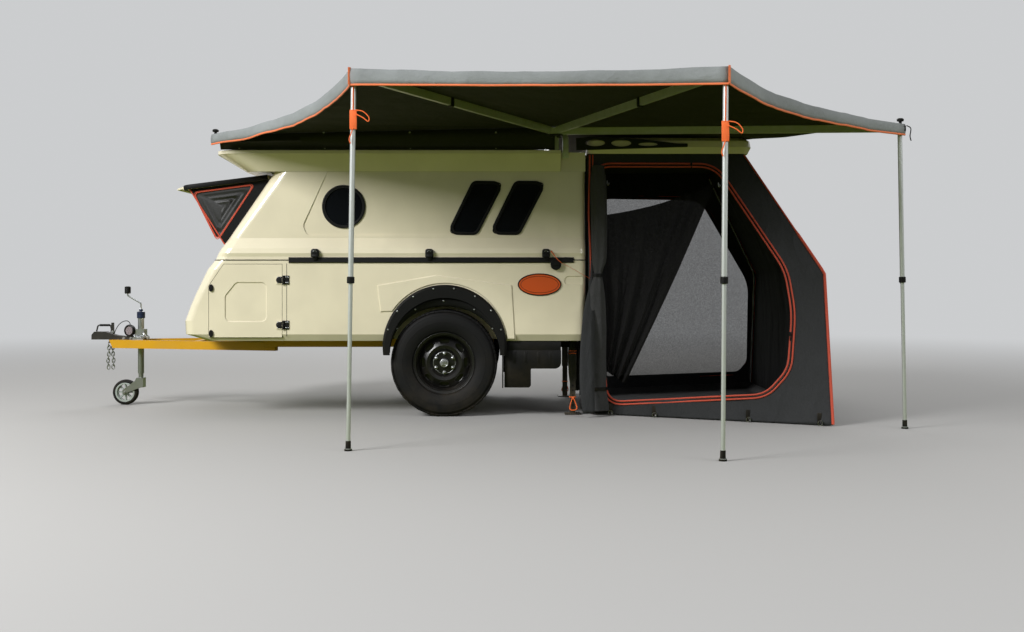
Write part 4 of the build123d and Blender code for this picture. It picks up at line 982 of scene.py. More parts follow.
@dataclass
class Studio:
    """Pale floor and surroundings, soft lamps and the photograph's camera."""

    backdrop: Color = (0.6, 0.61, 0.62)
    floor_tone: Color = (0.4, 0.395, 0.385)
    floor_radius: float = 60.0
    centre_x: float = 2.8
    # Distances from the middle between which the floor fades into the backdrop
    fade: Flat = (3.5, 14.0)
    eye: Spot = (3.296, -10.2, 0.491)
    lens: float = 45.03
    sensor: float = 36.0
    shift: float = -0.04
    bounce: Color = (0.12, 0.15, 0.022)
    dome_strength: float = 0.5
    lamps: tuple[tuple[Spot, float, float], ...] = (
        ((-4.5, -8.0, 6.0), 4.0, 1380.0), ((9.5, -7.0, 5.0), 4.0, 230.0),
        ((3.0, 8.5, 6.5), 5.0, 300.0),
    )

    def build(self) -> None:
        """Makes the floor, the surroundings, the lamps and the camera."""
        self.floor()
        self.surroundings()
        target = Vector((self.centre_x, 0.0, up(0.9)))
        for place, size, power in self.lamps:
            lamp = bpy.data.lights.new("soft_lamp", "AREA")
            lamp.size, lamp.energy = size, power
            holder = placed("soft_lamp", lamp)
            holder.location = place
            holder.rotation_euler = (target - Vector(place)).to_track_quat("-Z", "Y").to_euler()
        self.flag()
        self.camera()

    def turf(self) -> bpy.types.Material:
        """Floor's material: pale to the camera, and to the trailer the dark green of turf."""
        board = Board("studio_floor")
        board.set(Base_Color=(*self.floor_tone, 1.0), Roughness=0.9)
        reach = board.node("ShaderNodeVectorMath", operation="LENGTH")
        board.feed(reach.inputs[0], board.node("ShaderNodeTexCoord").outputs["Object"])
        fade = board.node("ShaderNodeMapRange", interpolation_type="SMOOTHSTEP")
        board.feed(fade.inputs["Value"], reach.outputs["Value"])
        put(fade, From_Min=self.fade[0], From_Max=self.fade[1])
        glow = put(board.node("ShaderNodeEmission"), Color=(*self.backdrop, 1.0))
        pale = board.blend(fade.outputs["Result"], board.shader.outputs[0], glow.outputs[0])
        grass = put(board.node("ShaderNodeBsdfDiffuse"), Color=(*self.bounce, 1.0))
        to_camera = board.node("ShaderNodeLightPath").outputs["Is Camera Ray"]
        board.feed(board.output.inputs["Surface"], board.blend(to_camera, grass.outputs[0], pale))
        return board.material

    def floor(self) -> None:
        """Makes the floor's disc, its middle under the trailer's."""
        radii = (0.0, 4.0, 9.0, 16.0, 30.0, self.floor_radius)
        shape = Shape().grid([[(radius * cos(a), radius * sin(a), 0.0) for a in turns(64)]
                              for radius in radii], loop_columns=True)
        mesh = shape.mesh("studio_floor")
        mesh.materials.append(self.turf())
        floor = placed("studio_floor", mesh)
        floor.location = (self.centre_x, 0.0, GROUND)

    def surroundings(self) -> None:
        """Sets a soft dome that the camera sees as one pale colour."""
        world = bpy.data.worlds.new("studio")
        bpy.context.scene.world = world
        world.use_nodes = True
        sky = Wiring().take(world.node_tree)
        plain = put(sky.nodes["Background"], Color=(*self.backdrop, 1.0))
        soft = put(sky.node("ShaderNodeBackground"), Strength=self.dome_strength,
                   Color=(1.0, 1.0, 1.0, 1.0))
        path = sky.node("ShaderNodeLightPath")
        seen = path.outputs["Is Camera Ray"]
        for kind in ("Is Transmission Ray", "Is Glossy Ray"):
            either = sky.node("ShaderNodeMath", operation="MAXIMUM")
            sky.feed(either.inputs[0], seen)
            sky.feed(either.inputs[1], path.outputs[kind])
            seen = either.outputs[0]
        sky.feed(sky.nodes["World Output"].inputs["Surface"],
                 sky.blend(seen, soft.outputs[0], plain.outputs[0]))

    def flag(self) -> None:
        """Dark flag with an uneven top, far behind the camera, that only the panes mirror."""
        board = Board("dark_flag")
        board.set(Base_Color=(0.012, 0.014, 0.012, 1.0), Roughness=1.0, Specular_IOR_Level=0.0)
        rows = [[], []]
        steps = 120
        for k in range(steps + 1):
            x = -30.0 + 0.5 * k
            top = 4.2 + 1.3 * wander(91.0, x * 0.5, 0, 0)
            top += 0.4 * wander(93.0, x * 2.1, 0, 0)
            rows[0].append((x, -22.0, GROUND))
            rows[1].append((x, -22.0, top))
        mesh = bpy.data.meshes.new("dark_flag")
        mesh.from_pydata(rows[0] + rows[1], [],
                         [(k, k + 1, k + steps + 2, k + steps + 1) for k in range(steps)])
        mesh.materials.append(board.material)
        flag = placed("dark_flag", mesh)
        for kind in ("camera", "diffuse", "transmission", "shadow", "volume_scatter"):
            setattr(flag, f"visible_{kind}", False)

    def camera(self) -> None:
        """Places the camera at the photograph's viewpoint, looking level along +Y."""
        lens = bpy.data.cameras.new("viewpoint")
        lens.lens, lens.sensor_width, lens.shift_y = self.lens, self.sensor, self.shift
        lens.clip_end = 200.0
        holder = placed("viewpoint", lens)
        holder.location = self.eye
        holder.rotation_euler = (radians(90.0), 0.0, 0.0)
        bpy.context.scene.camera = holder
        bpy.context.scene.view_settings.view_transform = "Standard"


@dataclass
class Awning:
    """Fan awning: canopy with its valance, piping, bag, pole fittings and ropes."""

    hub: Spot = (3.6, -0.935, up(2.1))
    rim: tuple[Spot, ...] = (
        (1.127, -0.955, up(2.045)), (2.356, -2.77, up(2.232)), (4.489, -3.16, up(2.18)),
        (5.898, -1.72, up(2.031)), (3.6, 0.9, up(2.078)),
    )
    edge_sag: tuple[float, ...] = (0.17, 0.04, 0.15, 0.0)
    pole_feet: tuple[Spot, ...] = (
        (2.335, -2.69, GROUND), (4.465, -3.1, GROUND), (5.934, -1.6, GROUND),
    )
    valance_drop: float = 0.096
    belly: float = 0.03
    cloth: float = 0.0022
    piping: float = 0.0055
    sleeve_height: float = 0.985
    collar_radius: float = 0.0225
    arm_drop: float = 0.0294
    arm_inset: float = 0.034
    bag_base: float = up(1.9393)
    # Front X, rear X, distance out, width, height
    bag_size: tuple[float, ...] = (1.197, 3.53, 0.905, 0.12, 0.144)
    straps: tuple[float, ...] = (1.36, 1.98, 2.62, 3.28)
    across: int = 36
    along: int = 26

    def edge_point(self, panel: int, share: float) -> Vector:
        """Point on a panel's outer edge, from its first arm to its second."""
        hub, first, second = Vector(self.hub), Vector(self.rim[panel]), Vector(self.rim[panel + 1])
        side = (second - first).normalized()
        inward = hub - first
        inward = (inward - side * inward.dot(side)).normalized()
        curve = 4 * share * (1 - share)
        return first.lerp(second, share) + inward * self.edge_sag[panel] * curve

    def panel_point(self, panel: int, share: float, reach: float) -> Vector:
        """Point of a panel's cloth, which bellies between its arms and creases at the corners."""
        hub = Vector(self.hub)
        point = hub.lerp(self.edge_point(panel, share), reach)
        free = sin(pi * share)
        fold = wander(3.0, share * 9, reach * 2.2, panel)
        fine = wander(8.0, share * 26, reach * 3.0, panel)
        drop = self.belly * free * reach ** 1.5 * (1.15 - reach * 0.55)
        ripple = (0.01 * fold + 0.004 * fine) * free ** 0.5 * reach
        return point - upward(self.cloth / 2 + drop - ripple)

    def canopy(self) -> Piece:
        """Canopy and hanging valance as one sheet of cloth."""
        shape = Shape()
        self.hem: list[Vector] = []
        self.area = 0.0
        for panel in range(len(self.rim) - 1):
            shares = [k / self.across for k in range(self.across + 1)]
            rows = [[self.panel_point(panel, share, 0.012 + 0.988 * k / self.along)
                     for share in shares] for k in range(self.along + 1)]
            if panel < 3:
                rows += self.valance_rows(panel, rows[-1], shares)
                self.hem += rows[-1] if panel == 0 else rows[-1][1:]
            places = [[(point.x, point.y - 0.6 * point.z) for point in row] for row in rows]
            shape.grid(rows, uv=places)
            self.area += sum(((row[j + 1] - row[j]).cross(after[j] - row[j])).length
                             for row, after in zip(rows, rows[1:]) for j in range(self.across))
        piece = shape.build("canopy_sheet", CANOPY, sharp=60.0)
        weld(piece, 0.0004)
        return thicken(piece, self.cloth)

    def valance_rows(self, panel: int, edge: Sequence[Vector],
                     shares: Sequence[float]) -> list[list[Vector]]:
        """Rows of the strip that hangs from a panel's outer edge.

        Args:
            panel: the panel's place in the rim.
            edge: points of its outer edge.
            shares: place of each point along the edge.

        Returns:
            Rows from the edge down to the hem.
        """
        first, second = Vector(self.rim[panel]), Vector(self.rim[panel + 1])
        run = (second - first).normalized()
        outward = Vector((run.y, -run.x, 0.0)).normalized()
        rows = []
        for step in (0.04, 0.16, 0.4, 0.7, 1.0):
            row = []
            for point, share in zip(edge, shares):
                free = sin(pi * share) ** 0.4
                wave = wander(12.0, share * 7, panel * 5.0, step * 0.6)
                fine = wander(15.0, share * 22, panel * 5.0, step)
                narrow = 1.0 if panel == 1 else 0.72 + 0.28 * (share if panel == 0 else 1 - share)
                flare = 0.006 * sin(pi * step)
                flare += (0.012 * wave + 0.005 * fine) * step * free
                drop = self.valance_drop * narrow - 0.002 * wave * free
                if panel == 1:
                    drop -= first.lerp(second, share).z - point.z
                row.append(point + outward * flare - upward(drop * step))
            rows.append(row)
        return rows

    def bindings(self) -> Piece:
        """Piping sewn along the valance's hem and over the corners."""
        shape = Shape()
        shape.tube(self.hem, self.piping, sides=8, flat=1.25)
        for corner in self.rim[1:3]:
            top = Vector(corner)
            outward = (top - Vector(self.hub)).normalized()
            outward.z = 0.0
            drop = [top + outward * 0.006 - upward(self.valance_drop * step)
                    for step in (-0.04, 0.3, 0.6, 1.02)]
            shape.tube(drop, 0.011, sides=8, flat=0.3)
        return shape.build("canopy_piping", AWNING_TRIM)

    def rope_tags(self) -> Piece:
        """Webbing with its runner tag and rope loop, tied down the two near poles."""
        shape = Shape()
        for corner, foot, tag_drop in zip(self.rim[1:3], self.pole_feet, (0.24, 0.3)):
            head, base = Vector(corner), Vector(foot)
            lean = (base - head).normalized()
            face = Vector((0, -0.02, 0))
            inward = (Vector(self.hub) - head).normalized() * self.arm_inset
            start = head + inward + face
            web = [start + lean * reach for reach in (0.03, 0.09, 0.16, tag_drop)]
            shape.tube(web, 0.006, sides=6, flat=0.5)
            tag = start + lean * (tag_drop + 0.055)
            shape.block(facing(tag, (0, -1, 0.02)), (0.042, 0.115, 0.008), 0.003)
            tail = trail(tag, (0.0, -0.008, -0.05), (-0.012, -0.01, -0.085),
                         (-0.022, -0.01, -0.115), (-0.014, -0.01, -0.14))
            shape.tube(smooth_line(tail, 4), 0.0035, sides=6)
            loop = trail(tag, (0.016, -0.006, 0.055), (0.06, -0.012, 0.045),
                         (0.092, -0.012, 0.012), (0.088, -0.012, -0.012),
                         (0.058, -0.012, 0.01), (0.018, -0.008, 0.03))
            shape.tube(smooth_line(loop, 5), 0.0035, sides=6)
        return shape.build("rope_tags", ROPE)

    def corner_knobs(self) -> Piece:
        """Screw knobs and brackets at the arms' ends, and clips halfway along the arms."""
        shape = Shape()
        hub = Vector(self.hub)
        for index, corner in enumerate(self.rim):
            tip = Vector(corner)
            inward = (hub - tip).normalized()
            if index in (0, 3, 4):
                seat = tip + inward * 0.03 + upward(0.001)
                knob = ((0.0, 0.0), (0.01, 0.0), (0.01, 0.014), (0.022, 0.018), (0.024, 0.03),
                        (0.016, 0.037), (0.0, 0.038))
                shape.revolve(knob, Matrix.Translation(seat), steps=16)
            if index == 3:
                shape.block(facing(tip + inward * self.arm_inset - upward(0.03), (0, 0, 1)),
                            (0.075, 0.045, 0.04), 0.006)
                cord = trail(tip, (0.01, 0, -0.01), (0.035, -0.01, -0.03),
                             (0.03, -0.01, -0.08), (0.04, 0, -0.11))
                shape.tube(smooth_line(cord, 4), 0.004, sides=6)
            if index in (1, 2):
                clip = hub.lerp(tip, 0.56) - upward(self.arm_drop)
                shape.block(facing(clip, inward), (0.036, 0.064, 0.03), 0.004)
        return shape.build("arm_fittings", BLACK_PLASTIC)

    def pole_fittings(self) -> Piece:
        """Cam collars on the poles with their levers, and the poles' boots."""
        shape = Shape()
        hub = Vector(self.hub)
        for foot, corner in zip(self.pole_feet, self.rim[1:4]):
            base = Vector(foot)
            head = Vector(corner) + (hub - Vector(corner)).normalized() * self.arm_inset
            lean = (head - base).normalized()
            place = facing(base + lean * (self.sleeve_height - 0.003), lean)
            ring = ((0.0126, 0.0), (self.collar_radius, 0.002), (self.collar_radius, 0.038),
                    (0.0155, 0.041))
            shape.revolve(ring, place, steps=20)
            shape.block(place @ moved(0.0, 0.026, 0.014), (0.016, 0.014, 0.044), 0.003)
            boot = ((0.0126, 0.06), (0.0155, 0.058), (0.0165, 0.016), (0.0225, 0.012),
                    (0.023, 0.0), (0.0, 0.0))
            shape.revolve(boot, facing(base, lean), steps=20)
        return shape.build("pole_fittings", BLACK_PLASTIC)

    def bag(self) -> Piece:
        """Soft bag along the roof's edge, slack between its straps."""
        front, rear, outer, width, height = self.bag_size
        steps, sides, power = 90, 36, 0.42
        rows, places = [], []
        for i in range(steps + 1):
            share = i / steps
            x = front + (rear - front) * share
            end = min(1.0, min(share, 1 - share) * 28) ** 0.5
            row, place, run = [], [], 0.0
            for k in range(sides):
                angle = tau * k / sides
                c, s = cos(angle), sin(angle)
                y = copysign(abs(c) ** power, c) * width / 2 * end
                z = copysign(abs(s) ** power, s) * height / 2 * (0.55 + 0.45 * end)
                slack = wander(4.0, x * 5, c * 0.8, s * 0.8)
                crease = wander(6.0, x * 17, c * 2, s * 2)
                tied = min(1.0, min(abs(x - strap) for strap in self.straps) * 9)
                pull = 1 - 0.05 * (1 - tied) + (0.028 * slack + 0.012 * crease) * tied
                row.append(Vector((x, -outer + width / 2 + y * pull,
                                   self.bag_base + height / 2 + z * (pull if s > -0.5 else 1.0))))
                place.append((x, run))
                run += 0.53 / sides
            rows.append(row)
            places.append(place)
        return Shape().capped(rows, places).build("awning_cover", SOFT_PVC, sharp=70.0)

    def skirt(self) -> Piece:
        """Flap of the bag that hangs over the arm along the roof's edge."""
        shape = Shape()
        rows, places = [], []
        steps = 80
        for lift, y in ((-0.002, -0.936), (-0.001, -0.972), (-0.016, -0.974), (-0.054, -0.974),
                        (None, -0.945), (None, -0.918)):
            row = []
            for k in range(steps + 1):
                x = 1.185 + 2.42 * k / steps
                crown = 2.045 + 0.055 * (x - 1.127) / 2.473 - 0.004
                height = crown + lift if lift is not None else (1.985 if y < -0.93 else 1.94)
                wave = wander(81.0, x * 3, 0, height)
                slack = 0.003 * wave + 0.002 * wander(83.0, x * 11, 0, height)
                row.append(Vector((x, y + min(slack, 0.002), up(height))))
            rows.append(row)
            places.append([(point.x, point.z) for point in row])
        shape.grid(rows, uv=places)
        return thicken(shape.build("awning_skirt", SOFT_PVC, sharp=60.0), 0.0015)

    def bag_trim(self) -> Piece:
        """Straps of the bag with their buckles, and its zip."""
        shape = Shape()
        face, base = -0.9062, self.bag_base
        # Y and height of a strap as it goes round the bag
        route = ((-0.906, 0.012), (-0.91, 0.075), (-0.904, 0.134), (-0.88, 0.1475),
                 (-0.845, 0.15), (-0.806, 0.146), (-0.785, 0.128), (-0.782, 0.06))
        for x in self.straps:
            line = smooth_line([(x, y, base + rise) for y, rise in route], 3)
            shape.grid([[p + Vector((w, 0, 0)) for w in (-0.0125, 0.0125)] for p in line])
            shape.block(facing((x, face - 0.004, base + 0.05), (0, -1, 0)), (0.034, 0.044, 0.01),
                        0.003)
        zip_line = [(1.225 + 0.02 * k, face - 0.001, base + 0.108) for k in range(115)]
        shape.tube(zip_line, 0.0045, sides=6, flat=0.6)
        return shape.build("awning_cover_trim", BLACK_PLASTIC)

    def snaps(self) -> Piece:
        """Bright snaps in two rows along the bag's face."""
        shape = Shape()
        dome = ((0.0075, 0.0), (0.0075, 0.002), (0.005, 0.0045), (0.0, 0.005))
        for height, out in ((0.012, -0.9205), (0.12, -0.9765)):
            for k in range(4):
                spot = (1.32 + 0.62 * k, out, self.bag_base + height)
                shape.revolve(dome, facing(spot, (0, -1, 0)), steps=12)
        return shape.build("awning_snaps", ZINC)

    def hub_cover(self) -> Piece:
        """Cover of the arms' hub with its bolts."""
        shape = Shape()
        hub = Vector(self.hub) - upward(self.arm_drop)
        disc = ((0.0, -0.0235), (0.06, -0.0235), (0.066, -0.02), (0.066, -0.012), (0.0, -0.012))
        shape.revolve(disc, Matrix.Translation(hub - upward(0.012)), steps=28)
        nut = ((0.0, -0.012), (0.011, -0.012), (0.012, -0.009), (0.012, 0.0))
        for angle in (tau * k / 5 + 0.5 for k in range(5)):
            spot = hub + Vector((0.042 * cos(angle), 0.042 * sin(angle), -0.0355))
            shape.revolve(nut, Matrix.Translation(spot), steps=6)
        return shape.build("hub_cover", BLACK_STEEL)

    def build(self) -> None:
        """Builds the awning and puts each piece on the trailer."""
        canopy = self.canopy()
        for piece, slot, *nodes in (
            (canopy, "canopy_cloth", "awning_canopy", "awning_valance"),
            (self.bindings(), "canopy_cloth"), (self.rope_tags(), "canopy_cloth"),
            (self.corner_knobs(), "black_plastic"), (self.pole_fittings(), "black_plastic"),
            (self.bag(), "canopy_cloth", "awning_bag"), (self.skirt(), "canopy_cloth"),
            (self.bag_trim(), "black_plastic"), (self.snaps(), "zinc_steel"),
            (self.hub_cover(), "black_steel"),
        ):
            settle(piece, "trailer", slot, *nodes)


def neighbours(outline: Sequence[Flat]) -> list[tuple[Flat, Flat, Flat]]:
    """Each point of a closed outline with the one before it and the one after."""
    points = list(outline)
    return list(zip(points[-1:] + points[:-1], points, points[1:] + points[:1]))


def rounded(outline: Sequence[Flat], radius: float, steps: int = 6) -> list[Flat]:
    """Closed outline with its corners rounded.

    Args:
        outline: the corners in turn.
        radius: radius of each corner, kept under a third of its shorter side.
        steps: points on each rounded corner less one.

    Returns:
        The rounded outline's points.
    """
    points = []
    for before, corner, after in neighbours(outline):
        spot, one, two = (Vector((*p, 0.0)) for p in (corner, before, after))
        reach = min(radius, (one - spot).length / 3, (two - spot).length / 3)
        start = spot + (one - spot).normalized() * reach
        end = spot + (two - spot).normalized() * reach
        for k in range(steps + 1):
            t = k / steps
            point = start * (1 - t) ** 2 + spot * 2 * t * (1 - t) + end * t ** 2
            points.append((point.x, point.y))
    return points


def hit(outline: Sequence[Flat], centre: Flat, angle: float) -> Flat:
    """Where a ray from a centre leaves an outline."""
    dx, dy = cos(angle), sin(angle)
    best = 0.0
    for (x0, y0), (x1, y1) in zip(outline, list(outline[1:]) + list(outline[:1])):
        ex, ey = x1 - x0, y1 - y0
        cross = dx * ey - dy * ex
        if abs(cross) < 1e-12:
            continue
        t = ((x0 - centre[0]) * ey - (y0 - centre[1]) * ex) / cross
        s = ((x0 - centre[0]) * dy - (y0 - centre[1]) * dx) / cross
        if t > 0 and -1e-6 <= s <= 1 + 1e-6:
            best = max(best, t)
    return centre[0] + dx * best, centre[1] + dy * best


def opening_rows(outer: Sequence[Flat], inner: Sequence[Flat], count: int) -> list[list[Flat]]:
    """Rows of flat points from an opening's edge out to a panel's edge.

    Args:
        outer: the panel's outline.
        inner: the opening's outline, inside the panel.
        count: how many steps to take from one to the other.

    Returns:
        Closed rows of as many points each.
    """
    centre = middle(inner)
    angles = {round(atan2(y - centre[1], x - centre[0]), 5) for x, y in (*outer, *inner)}
    angles |= {round(tau * k / 120 - pi, 5) for k in range(120)}
    rows = []
    for step in range(count + 1):
        share = step / count
        row = []
        for angle in sorted(angles):
            row.append(between(hit(inner, centre, angle), hit(outer, centre, angle), share))
        rows.append(row)
    return rows


@dataclass
class FabricRoom:
    """Charcoal room that hangs from the lifted rear hatch."""

    # Height, front X, half width at the front, rear X, half width at the rear
    levels: tuple[tuple[float, float, float, float, float], ...] = (
        (0.006, 3.87, 0.7, 5.483, 1.48), (1.045, 3.852, 0.885, 5.48, 1.25),
        (1.9147, 3.846, 0.862, 4.985, 0.855),
    )
    door: tuple[Flat, ...] = ((4.002, 0.104), (3.91, 1.815), (4.762, 1.811), (5.209, 1.06),
                              (5.247, 0.77), (5.208, 0.381), (5.06, 0.205))
    window: tuple[Flat, ...] = ((4.05, 0.16), (4.05, 1.69), (4.93, 1.68), (5.405, 0.96),
                                (5.42, 0.25), (5.34, 0.16))
    frame_route: tuple[Spot, ...] = (
        (5.461, 1.4478, 0.012), (5.458, 1.2338, 1.04), (4.996, 0.8428, 1.86))
    frame_radius: float = 0.008
    cloth: float = 0.003
    piping: float = 0.0065
    pinch_height: float = 1.03
    taut_height: float = 1.9
    roll_x: float = 3.925
    ceiling_height: float = 1.905
    loops: tuple[float, ...] = (4.02, 4.325, 4.95, 5.4)

    def section(self, height: float) -> tuple[float, ...]:
        """Front X, front half width, rear X and rear half width at a height."""
        low, high = self.levels[:2] if height <= self.levels[1][0] else self.levels[1:]
        share = (height - low[0]) / (high[0] - low[0])
        return tuple(a + (b - a) * share for a, b in zip(low[1:], high[1:]))

    def half_at(self, x: float, height: float) -> float:
        """The room's half width at a place along it and a height."""
        front, half_front, rear, half_rear = self.section(height)
        return half_front + (x - front) / (rear - front) * (half_rear - half_front)

    def on_wall(self, side: Side, x: float, height: float, out: float = 0.0) -> Vector:
        """Point of a side wall.

        Args:
            side: which wall.
            x: place along the trailer.
            height: height above the ground.
            out: distance that it stands off the wall, outward.

        Returns:
            The point.
        """
        return mirrored(side, x, self.half_at(x, height) - self.cloth + out, height)

    def billow(self, x: float, height: float, seed: float) -> float:
        """How far a side wall's cloth stands in or out where it hangs free."""
        slow = wander(seed, x * 2.6, height * 0.9, seed)
        fold = wander(seed + 5, x * 9.0, height * 1.3, seed)
        free = min(1.0, max(0.0, (self.taut_height - height) * 5)) * min(1.0, height * 6)
        free *= min(1.0, max(0.0, (self.section(height)[2] - x) * 8 - 0.2))
        return (0.013 * slow + 0.006 * fold) * free

    def wall_outline(self) -> list[Flat]:
        """Outline of a side wall as X and height."""
        front = [(row[1], row[0]) for row in self.levels]
        rear = [(row[3], row[0]) for row in self.levels]
        return front + rear[::-1]

    def side_wall(self, side: Side, opening: Sequence[Flat]) -> Shape:
        """Side wall around its opening."""
        shape = Shape()
        rows = opening_rows(self.wall_outline(), rounded(opening, 0.1), 14)
        walls, places = [], []
        for step, row in enumerate(rows):
            hem = min(1.0, (len(rows) - 1 - step) / 2, step / 2)
            walls.append([self.on_wall(side, x, h, self.billow(x, h, 2.0 + side) * hem)
                          for x, h in row])
            places.append(row)
        return shape.grid(walls, loop_columns=True, uv=places)

    def rear_wall(self) -> Shape:
        """Rear wall, sloped above the knee and slack across its width."""
        foot, knee_height, head = (row[0] for row in self.levels)

        def spot(down: float, part: float) -> tuple[Spot, Flat]:
            """Point of the wall."""
            height, across = foot + (head - foot) * down, -1 + 2 * part
            _, _, rear, half = self.section(height)
            free = sin(pi * part) ** 0.6 * min(1.0, (self.taut_height - height) * 4 + 0.02)
            slow = wander(21.0, across * 4, height * 1.1, 9.0)
            fold = wander(27.0, across * 13, height * 1.2, 9.0)
            knee = exp(-((height - knee_height) / 0.25) ** 2)
            pull = -0.045 * (1 - across ** 2) * knee + 0.014 * slow + 0.008 * fold
            y = across * (half - self.cloth)
            return (rear - self.cloth + pull * free, y, up(height)), (y, height)

        return Shape().surface(40, 60, spot)

    def walls(self) -> Piece:
        """The room's three walls as one sewn sheet."""
        whole = Shape()
        for part in (self.side_wall(Side.LEFT, self.door), self.rear_wall(),
                     self.side_wall(Side.RIGHT, self.window)):
            start = len(whole.verts)
            whole.verts += part.verts
            whole.faces += [tuple(start + index for index in face) for face in part.faces]
            whole.uvs += part.uvs
        piece = whole.build("room_walls", ROOM, sharp=50.0)
        weld(piece, 0.0005)
        self.area = sum(polygon.area for polygon in piece.data.polygons)
        return thicken(piece, self.cloth)

    def loop_on_wall(self, side: Side, outline: Sequence[Flat], grow: float,
                     out: float) -> list[Vector]:
        """Closed line on a side wall, outside an outline by grow."""
        points = rounded(outline, 0.11, 8)
        cx, cy = middle(points)
        line = []
        for before, (x, y), after in neighbours(points):
            tangent = Vector((after[0] - before[0], after[1] - before[1]))
            normal = Vector((tangent.y, -tangent.x)).normalized()
            if normal.dot(Vector((x - cx, y - cy))) < 0:
                normal = -normal
            spot = (x + normal.x * grow, y + normal.y * grow)
            wave = self.billow(*spot, 2.0 + side)
            line.append(self.on_wall(side, *spot, wave + out))
        return line

    def seams(self) -> Piece:
        """Orange double piping round the openings, and bindings along the corners."""
        shape = Shape()
        thin = self.piping * 0.8
        for grow in (0.006, 0.03):
            for side, outline, out, radius in ((Side.LEFT, self.door, 0.006, self.piping),
                                               (Side.RIGHT, self.window, 0.004, thin)):
                shape.tube(self.loop_on_wall(side, outline, grow, out), radius, 8, loop=True)
        for side in Side:
            heights = [0.012 + 1.895 * k / 48 for k in range(49)]
            corner = [self.on_wall(side, self.section(h)[2], h, 0.002) for h in heights]
            shape.tube(corner, [0.0065 if h > 1.35 else 0.0105 for h in heights], 8)
            front = [self.on_wall(side, self.section(h)[0] + 0.006 + 0.01 * sin(h * 4.2) ** 2,
                                  h, 0.008) for h in heights if h > 0.86]
            shape.tube(front, self.piping, 8)
            inner = [point + Vector((0.022, 0, 0)) for point in front]
            shape.tube(inner, thin, 8)
        return shape.build("room_piping", SHADED_PIPING)

    def zips(self) -> Piece:
        """Zip tape between an opening's two lines of piping, and the door's sliders."""
        shape = Shape()
        for side, outline in ((Side.LEFT, self.door), (Side.RIGHT, self.window)):
            line = self.loop_on_wall(side, outline, 0.018, 0.003)
            shape.tube(line, 0.005, 6, loop=True, flat=0.8)
        for x, height in ((5.235, 0.62), (4.6, 1.832)):
            spot = self.on_wall(Side.LEFT, x, height, 0.01)
            shape.block(facing(spot, (0, -1, 0)), (0.014, 0.03, 0.01), 0.003)
            puller = facing(spot + Vector((0, -0.005, -0.03)), (0, -1, 0))
            shape.block(puller, (0.008, 0.036, 0.003), 0.001)
        return shape.build("room_zips", BLACK_PLASTIC)

    def rolled_door(self) -> Piece:
        """Door panel rolled up beside the body, tied at its waist and slack below."""
        # Height, centre X, distance out from the wall, half width across
        stations = ((1.83, 3.925, 0.014, 0.04), (1.7, 3.925, 0.026, 0.054),
                    (1.4, 3.928, 0.03, 0.056), (1.16, 3.926, 0.032, 0.05),
                    (1.08, 3.92, 0.034, 0.034), (1.03, 3.916, 0.036, 0.026),
                    (0.97, 3.912, 0.04, 0.04), (0.84, 3.905, 0.046, 0.06),
                    (0.6, 3.908, 0.05, 0.07), (0.3, 3.912, 0.05, 0.072),
                    (0.2, 3.914, 0.05, 0.07), (0.1, 3.918, 0.05, 0.076),
                    (0.035, 3.92, 0.05, 0.078))
        centres = smooth_line([(x, out, h) for h, x, out, _ in stations], 5)
        widths = smooth_line([(half, 0, 0) for *_, half in stations], 5)
        rows, places = [], []
        for centre, width in zip(centres, widths):
            height, row, place = centre.z, [], []
            for angle in turns(40):
                c, s = cos(angle), sin(angle)
                ridge = 0.1 * sin(6 * angle + height * 1.6)
                fold = 0.16 * wander(31.0, c * 1.7, s * 1.7, height * 2.2)
                reach = width.x * (1 + ridge + fold)
                x = centre.x + reach * c
                base = self.on_wall(Side.LEFT, self.roll_x, height, centre.y)
                row.append(Vector((x, base.y - 0.62 * reach * s, base.z)))
                place.append((width.x * angle, height))
            rows.append(row)
            places.append(place)
        return Shape().capped(rows, places).build("rolled_door", ROOM_INSIDE, sharp=70.0)

    def side_flaps(self) -> Piece:
        """Black flaps that lap over the body's tail on both sides and swell out below."""
        shape = Shape()
        # Height, forward edge X, swell out from the body's side
        stations = ((1.14, 3.862, 0.01), (0.95, 3.846, 0.028), (0.75, 3.802, 0.05),
                    (0.45, 3.778, 0.062), (0.2, 3.778, 0.066), (0.03, 3.8, 0.062))
        line = smooth_line([(x, out, h) for h, x, out in stations], 6)
        for side in Side:
            rows = []
            for spot in line:
                row = []
                for k in range(15):
                    t = k / 14
                    x = 3.872 + (spot.x - 3.872) * sin(pi * t) ** 0.7 + 0.02 * t
                    y = BODY_SIDE - 0.004 + spot.y * sin(pi * min(t * 1.15, 1.0) * 0.62)
                    y += 0.005 * wander(41.0, t * 3, spot.z * 2.5, side)
                    row.append(mirrored(side, x, y, spot.z))
                rows.append(row)
            shape.grid(rows)
        return thicken(shape.build("room_flaps", ROOM, sharp=60.0), self.cloth)

    def curtain(self) -> Piece:
        """Insect curtain, unzipped and drawn across in slanting folds."""
        top = ((3.925, 1.462), (4.777, 1.7))
        bottom = ((3.93, 0.36), (4.127, 0.235))

        def spot(down: float, across: float) -> tuple[Vector, Flat]:
            """Point of the curtain."""
            x, h = (((near * (1 - across) + far * across) * (1 - down)
                     + (low_near * (1 - across) + low_far * across) * down)
                    for near, far, low_near, low_far in zip(*top, *bottom))
            h -= 0.035 * sin(pi * across) * (1 - down)
            gather = 0.35 + 0.65 * down
            slant = across * 9 - down * 3.2 * (1 - across)
            fold = sin(slant * 2.4 + 2.2 * wander(51.0, across * 2, down * 2, 0))
            fine = wander(55.0, slant * 2.1, across * 2.2, 0)
            depth = (0.034 * fold * gather + 0.026 * fine) * min(1.0, (1 - across) * 6 + 0.15)
            return self.on_wall(Side.LEFT, x, h, -0.055 + depth), (x + 0.02 * fold, h)

